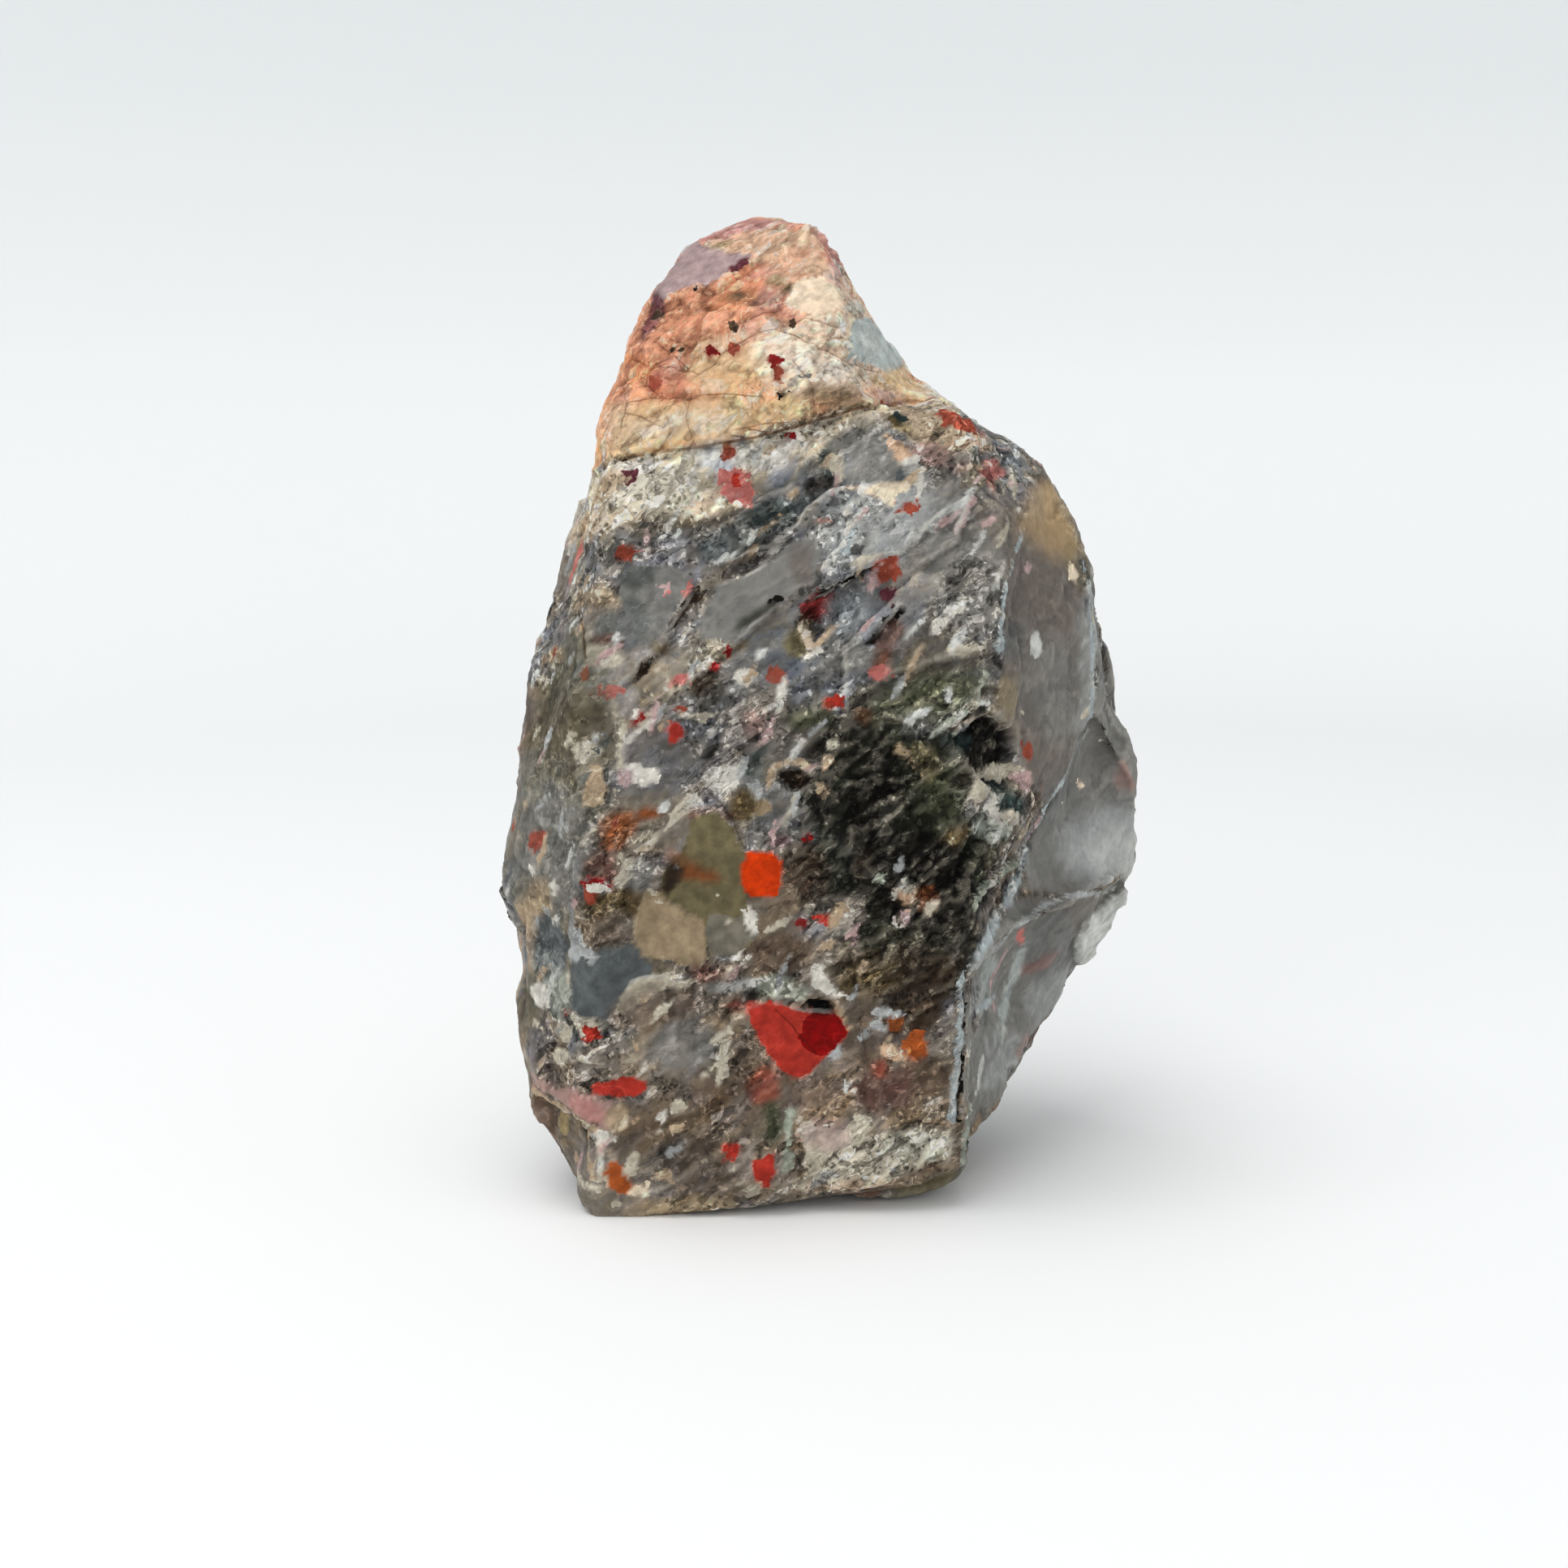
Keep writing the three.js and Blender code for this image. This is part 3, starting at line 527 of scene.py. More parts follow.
MIDDLE_MARKS: tuple[Mark, ...] = (
    zone(Tint.DARK_GREEN, (1010, 905), (1060, 880), (1120, 890), (1165, 905), (1200, 985), (1212, 1080),
        (1196, 1235), (1120, 1235), (1060, 1165), (1005, 1110), (985, 1010), fade=2.5, ragged=1.2,
        strength=0.92),
    zone(Tint.BLACK, (1060, 890), (1110, 930), (1165, 1040), (1205, 1060), (1195, 1170), (1120, 1160),
        (1060, 1100), (1040, 1010), fade=2.5, ragged=1.4, strength=0.9),
    oval(1150, 855, 150, 60, Tint.MOSS, 12, fade=3),
    oval(1100, 945, 120, 120, Tint.DARK_GREEN, fade=3, strength=0.6),
    oval(1150, 975, 100, 120, Tint.DARK_GREEN, fade=3, strength=0.8),
    oval(1150, 1090, 130, 130, Tint.BLACK, fade=3),
    oval(1080, 985, 70, 130, Tint.BLACK, -15, fade=2, strength=0.9),
    oval(1030, 925, 70, 60, Tint.BLACK, fade=2, strength=0.7),
    oval(1010, 985, 60, 90, Tint.BLACK, 20, fade=2, strength=0.6),
    oval(1160, 985, 50, 90, Tint.MOSS, 10, fade=2, strength=0.5),
    oval(1130, 1200, 110, 70, Tint.DARK_BROWN, fade=2.5, strength=0.9),
    oval(1065, 1205, 80, 50, Tint.OLIVE_BROWN, fade=2),
    oval(1210, 1045, 34, 90, Tint.DARK_GREEN, fade=1, strength=0.9),
    oval(990, 1080, 60, 70, Tint.DARK_BROWN, fade=2), oval(1140, 940, 34, 50, Tint.OLIVE, 20, strength=0.7),
    vein(Tint.TAN, 4, (1108, 924), (1122, 936), (1133, 955)),
    oval(1141, 1106, 26, 28, Tint.RUST, strength=0.6), oval(1184, 1032, 32, 18, Tint.OLIVE_BROWN, 20),
    oval(1062, 1066, 24, 28, Tint.DARK_BROWN, strength=0.6),
    oval(985, 1062, 50, 60, Tint.DARK_BROWN, strength=0.8),
    shard(Tint.PEACH, (1102, 1096), (1132, 1099), (1120, 1119), (1112, 1113)),
    chip(1116, 1132, 9, 26, Tint.MAUVE, -8), chip(1109, 1143, 14, 8, Tint.WHITE),
    chip(1052, 1160, 9, 32, Tint.PALE_PINK, -4), chip(1113, 1063, 8, 26, Tint.PALE_GREY, 8),
    chip(1082, 1085, 13, 8, Tint.PALE_GREEN), oval(1040, 1126, 44, 40, Tint.BROWN_GREY, fade=0.8),
    chip(1030, 1130, 8, 26, Tint.SAND, -25),
    shard(Tint.WHITE, (1001, 1190), (1007, 1186), (1022, 1211), (1041, 1229), (1020, 1227), (1001, 1212)),
    chip(996, 1030, 17, 15, Tint.CRIMSON, 20), chip(1008, 1133, 19, 12, Tint.RED),
    chip(989, 1138, 16, 13, Tint.CRIMSON, 10, strength=0.8),
    oval(960, 1036, 34, 18, Tint.PURPLE, strength=0.6),
    vein(Tint.PALE_PINK, 3, (958, 1012), (952, 1026), (954, 1042)),
    oval(978, 958, 46, 26, Tint.DARK_BROWN, fade=0.4, lift=-0.5),
    vein(Tint.SAND, 8, (947, 968), (956, 946), (975, 936), (998, 946), lift=0.25),
    chip(933, 975, 15, 18, Tint.PALE_GREY), chip(936, 994, 17, 20, Tint.TAN),
    oval(935, 928, 22, 60, Tint.TEAL, -28, strength=0.75), chip(1030, 915, 8, 18, Tint.BONE, -35),
    chip(1017, 943, 12, 20, Tint.SAND, -30, strength=0.8), chip(1012, 972, 10, 20, Tint.SAND, 30),
    oval(960, 1100, 60, 60, Tint.BROWN, fade=2, strength=0.7, calm=0.4),
    oval(960, 1175, 90, 50, Tint.BROWN, fade=2, calm=0.4),
)

LEFT_MARKS: tuple[Mark, ...] = (
    zone(Tint.MOSS, (700, 760), (760, 840), (760, 960), (705, 1050), (703, 1240), (640, 1260), (624, 1060),
        (660, 860), fade=2, strength=0.5, calm=0.5),
    vein(Tint.BONE, 2, (764, 905), (765, 950), (757, 985), (735, 1015), (716, 1040), ragged=0.3,
        strength=0.8),
    vein(Tint.PALE_GREY, 2, (708, 1060), (704, 1100), (705, 1140), ragged=0.3, strength=0.8),
    oval(680, 1050, 90, 160, Tint.GREY, fade=3, strength=0.6, calm=0.55),
    oval(660, 1120, 40, 70, Tint.TAN, -15, fade=1.5),
    zone(Tint.SAND, (642, 1120), (664, 1128), (664, 1150), (652, 1185), (645, 1205), (630, 1205),
        (638, 1160), fade=0.6),
    oval(676, 1168, 44, 80, Tint.SLATE, 12, fade=1, calm=0.5),
    oval(688, 1222, 40, 60, Tint.GREY_GREEN, fade=1, strength=0.8),
    chip(638, 962, 11, 22, Tint.ORANGE_BROWN),
    chip(660, 1036, 22, 24, Tint.BRICK, ragged=0.5, strength=0.7), chip(630, 1016, 8, 13, Tint.BRICK),
    chip(656, 1071, 6, 5, Tint.WHITE), chip(682, 1093, 8, 10, Tint.WHITE),
    oval(633, 1216, 24, 40, Tint.BRICK, -25, fade=0.5, strength=0.8), chip(633, 1287, 12, 14, Tint.PURPLE),
    shard(Tint.SAND, (727, 940), (740, 945), (742, 966), (750, 974), (736, 993), (721, 990), (722, 965),
        (728, 955)),
    chip(724, 925, 36, 28, Tint.BONE, 25), chip(728, 927, 17, 13, Tint.SLATE, 20, over=True),
    chip(742, 916, 8, 14, Tint.SLATE), vein(Tint.BONE, 5, (764, 918), (762, 930), (762, 946)),
    chip(730, 967, 5, 5, Tint.BRICK), chip(795, 957, 34, 18, Tint.WHITE, -8, ragged=0.4),
    chip(768, 957, 19, 18, Tint.MAUVE), chip(779, 944, 9, 6, Tint.WHITE),
    chip(890, 960, 33, 28, Tint.WHITE, 25, ragged=0.5, strength=0.9), chip(854, 987, 8, 9, Tint.WHITE),
    oval(763, 1023, 56, 48, Tint.RUST, 30, fade=0.8, strength=0.85),
    chip(758, 1012, 16, 18, Tint.BRICK, 30, strength=0.5), oval(801, 1003, 26, 12, Tint.RUST),
    oval(915, 994, 38, 40, Tint.OLIVE_BROWN, fade=0.8), oval(880, 1006, 60, 18, Tint.RUST, strength=0.35),
    oval(790, 1035, 46, 30, Tint.BONE, 20, strength=0.6), chip(792, 1033, 12, 12, Tint.OLIVE, over=True),
    oval(745, 1068, 50, 36, Tint.PURPLE_BROWN, fade=0.8),
    oval(760, 1118, 80, 44, Tint.OLIVE_BROWN, fade=1.5),
    shard(Tint.BONE, (761, 1050), (784, 1062), (776, 1080), (763, 1093), (757, 1086), (767, 1070)),
    oval(790, 1075, 22, 50, Tint.GREY, fade=0.8), chip(735, 1088, 26, 10, Tint.CRIMSON),
    chip(736, 1093, 16, 8, Tint.WHITE, over=True), chip(728, 1102, 10, 12, Tint.BRICK),
    shard(Tint.OLIVE, (850, 1012), (880, 1004), (905, 1018), (916, 1050), (918, 1100), (926, 1130),
        (926, 1165), (905, 1176), (880, 1179), (868, 1150), (865, 1135), (840, 1122), (815, 1102),
        (822, 1070), (842, 1048), ragged=0.25, calm=0.95),
    shard(Tint.GREY, (868, 1118), (926, 1130), (926, 1165), (905, 1176), (880, 1179), (868, 1150),
        strength=0.3, ragged=0.5),
    oval(862, 1079, 50, 14, Tint.RUST, -8, strength=0.8),
    oval(845, 1062, 44, 12, Tint.RUST, -25, strength=0.5), chip(831, 1072, 5, 4, Tint.WHITE),
    oval(826, 1085, 20, 40, Tint.DARK_BROWN, -15, fade=0.5), chip(897, 1135, 8, 17, Tint.BONE, 30),
    chip(923, 1128, 13, 36, Tint.WHITE, 10), chip(885, 1103, 6, 4, Tint.BONE),
    chip(910, 1177, 14, 10, Tint.WHITE), chip(890, 1180, 8, 9, Tint.PALE_GREY),
    shard(Tint.ORANGE, (918, 1052), (950, 1053), (963, 1064), (961, 1090), (957, 1104), (925, 1105),
        (916, 1095), (915, 1070), calm=0.8, ragged=0.06, fray=0.3),
    oval(762, 1158, 50, 66, Tint.BROWN_GREY, fade=1.2, strength=0.8, calm=0.6),
    shard(Tint.TAN, (796, 1100), (812, 1100), (835, 1119), (869, 1135), (871, 1181), (862, 1195),
        (845, 1189), (819, 1180), (789, 1176), (780, 1150), (788, 1120), calm=0.92, lift=0.25),
    # a painted highlight on the upper corner of the tan facet
    vein(Tint.BONE, 3, (795, 1092), (806, 1102), (816, 1112)),
    oval(735, 1148, 70, 40, Tint.UMBER, 10, fade=1.2, strength=0.6),
    shard(Tint.SLATE, (702, 1187), (743, 1172), (780, 1168), (803, 1192), (790, 1214), (765, 1235),
        (745, 1257), (720, 1256), (700, 1243), calm=0.9, ragged=0.4, strength=0.9),
    shard(Tint.BONE, (758, 1250), (764, 1222), (783, 1208), (808, 1203), (822, 1207), (845, 1211),
        (859, 1202), (850, 1217), (822, 1221), (800, 1229), (778, 1246), lift=0.3, ragged=0.4),
    shard(Tint.PALE_GREY, (702, 1146), (714, 1146), (718, 1163), (729, 1182), (729, 1196), (719, 1180),
        (703, 1186), (698, 1165)),
    chip(721, 1189, 16, 17, Tint.SLATE, over=True),
    shard(Tint.WHITE, (652, 1218), (664, 1210), (673, 1224), (673, 1241), (660, 1240), (650, 1226)),
    chip(700, 1215, 5, 34, Tint.BONE), chip(696, 1247, 11, 6, Tint.CRIMSON),
    oval(870, 1200, 44, 30, Tint.PURPLE_BROWN, fade=0.8),
    shard(Tint.BONE, (700, 1250), (730, 1258), (734, 1270), (716, 1281), (700, 1265)),
    chip(727, 1275, 24, 15, Tint.RED, 4), oval(805, 1245, 110, 60, Tint.BROWN, 10, fade=1.5, strength=0.7),
    oval(900, 1217, 60, 14, Tint.PALE_GREY, 5, strength=0.8),
    oval(965, 1220, 66, 24, Tint.PALE_GREEN, -6, fade=0.5, strength=0.75),
    oval(925, 1231, 14, 10, Tint.BLACK),
)

LOWER_MARKS: tuple[Mark, ...] = (
    oval(840, 1290, 90, 60, Tint.GREY, 10, fade=1.5, calm=0.5, strength=0.8),
    oval(790, 1385, 100, 70, Tint.UMBER, fade=2, strength=0.6, calm=0.5),
    oval(870, 1440, 110, 80, Tint.UMBER, fade=2.5, strength=0.5, calm=0.5),
    oval(850, 1486, 110, 20, Tint.TAN, 4, fade=0.8), oval(905, 1241, 26, 16, Tint.BRICK, strength=0.8),
    shard(Tint.RED, (918, 1240), (950, 1236), (985, 1246), (1015, 1258), (1030, 1250), (1046, 1271),
        (1030, 1290), (1012, 1309), (992, 1327), (976, 1327), (955, 1309), (938, 1285), (927, 1262),
        calm=0.85, fray=0.3),
    shard(Tint.DEEP_RED, (995, 1253), (1030, 1250), (1046, 1271), (1018, 1303), (1000, 1301), (984, 1282),
        over=True, fray=0.3),
    oval(1014, 1243, 40, 17, Tint.BLACK, -5, fade=0.35, lift=-0.6),
    vein(Tint.SAND, 5, (1028, 1238), (1038, 1252), (1047, 1268)),
    chip(1028, 1302, 18, 12, Tint.PALE_GREY, 40),
    oval(940, 1336, 44, 42, Tint.BRICK, fade=0.9, strength=0.75),
    chip(763, 1341, 62, 25, Tint.RED, 3, strength=0.95, calm=0.7, fray=0.4),
    zone(Tint.DUSKY_PINK, (652, 1322), (700, 1345), (730, 1351), (772, 1358), (752, 1397), (735, 1391),
        (700, 1373), (648, 1338), fade=0.3, calm=0.8),
    oval(722, 1369, 46, 30, Tint.PINK, -30, strength=0.35),
    oval(761, 1376, 26, 44, Tint.SAND, -25, fade=0.4),
    shard(Tint.WHITE, (722, 1404), (738, 1393), (757, 1402), (753, 1409), (736, 1403)),
    vein(Tint.SAND, 4, (646, 1336), (677, 1356), (707, 1376), (740, 1397), lift=0.2),
    oval(712, 1390, 44, 22, Tint.DARK_GREEN, -35, fade=0.5, lift=-0.5), chip(692, 1385, 12, 30, Tint.KHAKI),
    oval(722, 1436, 54, 70, Tint.BROWN_GREY, fade=1, strength=0.8),
    vein(Tint.BONE, 4, (738, 1410), (738, 1430), (744, 1452)),
    vein(Tint.BONE, 5, (712, 1450), (725, 1462), (742, 1466)),
    vein(Tint.SAND, 3, (722, 1410), (728, 1432), (730, 1450)),
    chip(763, 1454, 24, 34, Tint.ORANGE_BROWN, 35), chip(777, 1436, 8, 30, Tint.BONE, -15),
    chip(790, 1466, 32, 9, Tint.CREAM), chip(817, 1451, 22, 13, Tint.SAND),
    chip(758, 1481, 14, 8, Tint.BONE), chip(811, 1377, 16, 7, Tint.WHITE, 30),
    chip(837, 1362, 13, 6, Tint.BONE, 40), chip(834, 1389, 20, 8, Tint.SAND, 20),
    chip(815, 1396, 14, 5, Tint.BONE, -20), chip(904, 1418, 22, 25, Tint.RED, -25),
    shard(Tint.RED, (925, 1432), (940, 1430), (953, 1422), (956, 1449), (946, 1467), (930, 1453)),
    chip(902, 1436, 9, 14, Tint.BONE, 30), chip(924, 1463, 24, 10, Tint.BONE, -25),
    chip(793, 1318, 9, 7, Tint.WHITE), vein(Tint.BONE, 5, (898, 1271), (888, 1276), (880, 1284)),
    vein(Tint.BONE, 6, (895, 1283), (890, 1300), (887, 1333)),
    oval(1128, 1250, 80, 60, Tint.DARK_BROWN, fade=1.5),
    chip(1129, 1285, 30, 42, Tint.ORANGE_BROWN, 10, ragged=0.5), chip(1103, 1262, 20, 16, Tint.RUST),
    chip(1100, 1249, 36, 7, Tint.PALE_GREY, -6), chip(1086, 1266, 18, 8, Tint.PALE_GREY, -25),
    shard(Tint.PEACH, (1081, 1286), (1100, 1289), (1123, 1312), (1104, 1304), (1090, 1302)),
    chip(1068, 1278, 17, 8, Tint.PALE_GREY), oval(1140, 1325, 60, 40, Tint.BROWN, fade=1.2, calm=0.5),
    oval(1092, 1347, 80, 60, Tint.PURPLE_BROWN, fade=1.2, ragged=0.8, calm=0.5),
    oval(1083, 1316, 22, 24, Tint.BRICK, strength=0.8),
    oval(1010, 1350, 70, 40, Tint.BROWN, fade=1.2, strength=0.7, calm=0.5),
    zone(Tint.BONE, (1008, 1446), (1030, 1418), (1065, 1402), (1100, 1398), (1168, 1388), (1174, 1424),
        (1120, 1447), (1070, 1466), (1000, 1474), (975, 1462), fade=0.6, strength=0.95),
    shard(Tint.BONE, (985, 1380), (1010, 1386), (1041, 1396), (1054, 1371), (1081, 1382), (1075, 1388),
        (1060, 1404), (1025, 1421), (1008, 1449), (993, 1430), (988, 1405), ragged=0.5, strength=0.85),
    oval(1015, 1400, 60, 40, Tint.PALE_PINK, fade=1.2, strength=0.5),
    oval(1133, 1412, 80, 40, Tint.PALE_GREEN, fade=1.5, strength=0.4),
    oval(1045, 1466, 100, 14, Tint.PEACH, 2, strength=0.6),
    vein(Tint.PALE_GREEN, 6, (974, 1372), (970, 1395), (973, 1420), (968, 1446)),
    oval(952, 1390, 26, 60, Tint.MOSS, fade=0.8), chip(690, 1273, 14, 24, Tint.BONE),
    chip(686, 1303, 18, 18, Tint.BONE, 30), vein(Tint.BONE, 4, (708, 1298), (718, 1310), (728, 1314)),
    vein(Tint.BONE, 3, (655, 1258), (668, 1276), (682, 1286)),
    vein(Tint.SAND, 3, (768, 1268), (780, 1280), (784, 1292)),
)

MARKS: tuple[Mark, ...] = (
    *UPPER_MARKS, *BAND_MARKS, *CAP_MARKS, *MIDDLE_MARKS, *RIGHT_MARKS, *LEFT_MARKS, *LOWER_MARKS)

CRACKS: tuple[Crack, ...] = (
    Crack(CRACK, 0.15, 0.85, 0.45),
    Crack(((802, 416), (830, 436), (858, 459), (895, 432), (935, 408), (955, 403), (1004, 421),
           (1037, 436), (1090, 460))),
    Crack(((748, 470), (784, 466), (810, 485), (853, 488), (894, 486), (940, 488))),
    Crack(((765, 464), (768, 490), (764, 528)), dark=0.7),
    Crack(((850, 485), (846, 515), (856, 548)), dark=0.6),
    Crack(((821, 512), (826, 530), (815, 552)), dark=0.5),
    Crack(((905, 530), (940, 522), (975, 520)), dark=0.5),
    Crack(((760, 505), (790, 512), (822, 530)), dark=0.6),
    Crack(((800, 446), (795, 470), (810, 485)), dark=0.6),
    Crack(((770, 440), (800, 450), (850, 452)), dark=0.5),
    Crack(((960, 400), (990, 392), (1040, 404)), dark=0.4),
    Crack(((1004, 421), (1030, 412), (1052, 420)), dark=0.4),
    Crack(((905, 400), (940, 385), (968, 376)), dark=0.5),
    Crack(((745, 499), (802, 490), (853, 488)), dark=0.6),
    Crack(((784, 466), (800, 450), (830, 436)), dark=0.5),
    Crack(((800, 510), (820, 500), (853, 488)), dark=0.5),
    Crack(((755, 555), (790, 540), (815, 505)), dark=0.5),
    Crack(((820, 414), (850, 425), (880, 412)), dark=0.4),
    Crack(((860, 372), (900, 345), (945, 318)), dark=0.4),
    Crack(((805, 388), (850, 366), (900, 350)), dark=0.5),
    Crack(((975, 440), (1000, 470), (1004, 500)), dark=0.4),
    Crack(((952, 1241), (967, 1256), (981, 1273), (1006, 1300)), 0.1, 0.9),
    Crack(((705, 752), (715, 770), (719, 812)), 0.16, 0.8),
    Crack(((1108, 1098), (1109, 1160), (1113, 1200)), 0.1, 0.5),
    Crack(((860, 960), (905, 1010), (918, 1048)), 0.08, 0.4),
    Crack(((1060, 1250), (1070, 1320), (1052, 1368)), 0.08, 0.4),
    Crack(((640, 1110), (648, 1180), (638, 1260)), 0.08, 0.4),
)

STEPS: tuple[Step, ...] = (
    Step(CRACK, 0.7, 1.2, 1, 0.2),
    Step(((877, 722), (915, 710), (948, 689), (971, 659), (992, 623), (1022, 601), (1060, 597)),
         1.1, 2.0, -1, 0.6),
    Step(((885, 692), (920, 682), (953, 674), (985, 640)), 0.5, 1.2, -1, 0.5),
    Step(((1000, 745), (1030, 728), (1060, 708), (1103, 702)), 0.9, 1.6, 1, 0.4),
    Step(((760, 850), (793, 812), (823, 781), (860, 728)), 0.8, 1.5, 1, 0.4),
    Step(((845, 850), (870, 820), (900, 795), (960, 745)), 0.5, 1.2, 1, 0.4),
    Step(((1070, 795), (1100, 762), (1112, 742)), 0.6, 1.2, 1, 0.4),
    Step(((1140, 912), (1187, 887), (1205, 868), (1208, 840)), 0.9, 2.0, 1, 0.6),
    Step(((1199, 1114), (1222, 1086), (1258, 1063)), 0.8, 1.5, -1, 0.7),
    Step(((763, 1236), (779, 1211), (799, 1206), (822, 1206), (845, 1213), (858, 1203)), 0.7, 1.5, 1, 0.5),
    Step(((1048, 868), (1072, 846), (1110, 825), (1160, 812), (1215, 801)), 0.7, 2.0, 1, 0.15),
    Step(((640, 1336), (677, 1358), (707, 1378), (743, 1399)), 0.5, 1.5, 1, 0.5),
    Step(((1100, 690), (1148, 648), (1175, 622)), 0.5, 1.2, 1, 0.6),
    Step(((1120, 700), (1174, 667), (1200, 612)), 0.5, 1.2, 1, 0.6),
    Step(((918, 1240), (950, 1237), (1000, 1246), (1030, 1248)), 0.4, 1.0, -1, 0.3),
)


def hashed(cell: Array, seed: int) -> Array:
    """A random number from 0 to 1 for each whole-numbered cell.

    Args:
        cell: One row of three whole numbers for each cell.
        seed: Which set of numbers to draw.

    Returns:
        One number for each row.
    """
    whole = cell.astype(np.int64).astype(np.uint32)
    first, second, third = (whole[:, axis] * np.uint32(prime) for axis, prime in enumerate(HASH_AXES))
    mixed = first ^ second ^ third ^ np.uint32(seed * HASH_SEEDS[0] % HASH_SEEDS[1])
    for shift, factor in HASH_ROUNDS * 2:
        mixed = (mixed ^ (mixed >> np.uint32(shift))) * np.uint32(factor)
    return (mixed ^ (mixed >> np.uint32(16))).astype(np.float64) / 2.0**32


def cloud(places: Array, size: float, seed: int, octaves: int = 3) -> Array:
    """Smooth lumpy noise from about -1 to 1.

    Args:
        places: Where to read it, in millimetres.
        size: The width of the largest lumps in millimetres.
        seed: Which noise.
        octaves: How many finer layers to add.

    Returns:
        One value for each place.
    """
    total = np.zeros(len(places))
    weight = 0.0
    for octave in range(octaves):
        grid = places / size * 2.0**octave + CLOUD_SHIFT * octave
        low = np.floor(grid)
        part = grid - low
        part = part * part * (3 - 2 * part)
        value = np.zeros(len(places))
        for corner in np.ndindex(2, 2, 2):
            share = np.prod(np.where(corner, part, 1 - part), axis=1)
            value += share * hashed(low + corner, seed + octave)
        total += (value * 2 - 1) * CLOUD_FADE**octave
        weight += CLOUD_FADE**octave
    return total / weight * CLOUD_GAIN


@dataclass
class Cells:
    """Cracked-up space: how near the next cell is at each place, and what its own cell and the next are."""

    gap: Array
    offset: Array
    key: Array
    tilt: Array
    next_offset: Array
    next_key: Array
    next_tilt: Array


def cells(places: Array, size: float, seed: int) -> Cells:
    """Divides space into uneven cells of a given width.

    Args:
        places: Where to read them, in millimetres.
        size: The cells' width in millimetres.
        seed: Which cells.

    Returns:
        What each place knows of its own cell and the next.
    """
    grid = places / size
    home = np.floor(grid)
    count = len(places)
    near = np.full(count, 9.0)
    after = np.full(count, 9.0)
    found = {name: np.zeros((count, 3)) for name in ("near_offset", "next_offset", "near_cell", "next_cell")}
    for shift in np.ndindex(3, 3, 3):
        cell = home + np.array(shift) - 1
        centre = cell + np.stack([hashed(cell, seed + 10 * axis) for axis in range(3)], axis=1)
        offset = grid - centre
        distance = np.sqrt((offset**2).sum(axis=1))
        first = distance < near
        second = ~first & (distance < after)
        found["next_offset"][first] = found["near_offset"][first]
        found["next_cell"][first] = found["near_cell"][first]
        after = np.where(first, near, np.where(second, distance, after))
        near = np.where(first, distance, near)
        found["near_offset"][first] = offset[first]
        found["near_cell"][first] = cell[first]
        found["next_offset"][second] = offset[second]
        found["next_cell"][second] = cell[second]
    tilts = []
    for name in ("near_cell", "next_cell"):
        tilt = np.stack([hashed(found[name], seed + 50 + axis) for axis in range(3)], axis=1) * 2 - 1
        tilts.append(tilt / np.maximum(np.linalg.norm(tilt, axis=1, keepdims=True), 0.2))
    keys = [hashed(found[name], seed + 99) for name in ("near_cell", "next_cell")]
    return Cells((after - near) * size, found["near_offset"] * size, keys[0], tilts[0],
                 found["next_offset"] * size, keys[1], tilts[1])


def ease(value: Array, low: float, high: float) -> Array:
    """Rises smoothly from 0 at low to 1 at high."""
    part = np.clip((value - low) / (high - low), 0, 1)
    return part * part * (3 - 2 * part)


def signed_distance(places: Array, corners: Array) -> Array:
    """How far places in a plane lie inside a closed outline, or outside it as a negative number.

    Args:
        places: One row of two numbers for each place.
        corners: The outline's corners in order.

    Returns:
        One distance for each place.
    """
    best = np.full(len(places), np.inf)
    inside = np.zeros(len(places), dtype=bool)
    for start, end in zip(corners, np.roll(corners, -1, axis=0)):
        side = end - start
        offset = places - start
        along = np.clip(offset @ side / max(side @ side, TINY), 0, 1)
        best = np.minimum(best, ((offset - along[:, None] * side) ** 2).sum(axis=1))
        crosses = (start[1] > places[:, 1]) != (end[1] > places[:, 1])
        rise = side[1] if abs(side[1]) > 1e-9 else 1e-9
        inside ^= crosses & (places[:, 0] < start[0] + (places[:, 1] - start[1]) * side[0] / rise)
    return np.where(inside, 1.0, -1.0) * np.sqrt(best)


@dataclass
class Surface:
    """A closed surface of small quads: its points in millimetres, its edges and its faces."""

    points: Array
    edges: Array
    faces: Array

    def measured_normals(self) -> Array:
        """The outward direction at every point of the surface."""
        a, b, c, d = (self.points[self.faces[:, i]] for i in range(4))
        across = np.cross(c - a, d - b)
        total = np.zeros_like(self.points)
        for axis in range(3):
            for corner in range(4):
                total[:, axis] += np.bincount(self.faces[:, corner], across[:, axis], len(self.points))
        return total / np.maximum(np.linalg.norm(total, axis=1, keepdims=True), TINY)

    def spread(self, values: Array, rounds: int) -> Array:
        """Averages values over their neighbours along the edges.

        Args:
            values: One number, or one row, for each point.
            rounds: How many times to average.

        Returns:
            The smoothed values.
        """
        one, two = self.edges[:, 0], self.edges[:, 1]
        count = len(self.points)
        links = np.bincount(one, minlength=count) + np.bincount(two, minlength=count)
        rows = values.reshape(count, -1).copy()
        for _ in range(rounds):
            mean = np.stack([np.bincount(one, rows[two, k], count) + np.bincount(two, rows[one, k], count)
                             for k in range(rows.shape[1])], axis=1) / np.maximum(links, 1)[:, None]
            rows = rows * (1 - SPREAD_SHARE) + mean * SPREAD_SHARE
        return rows.reshape(values.shape)


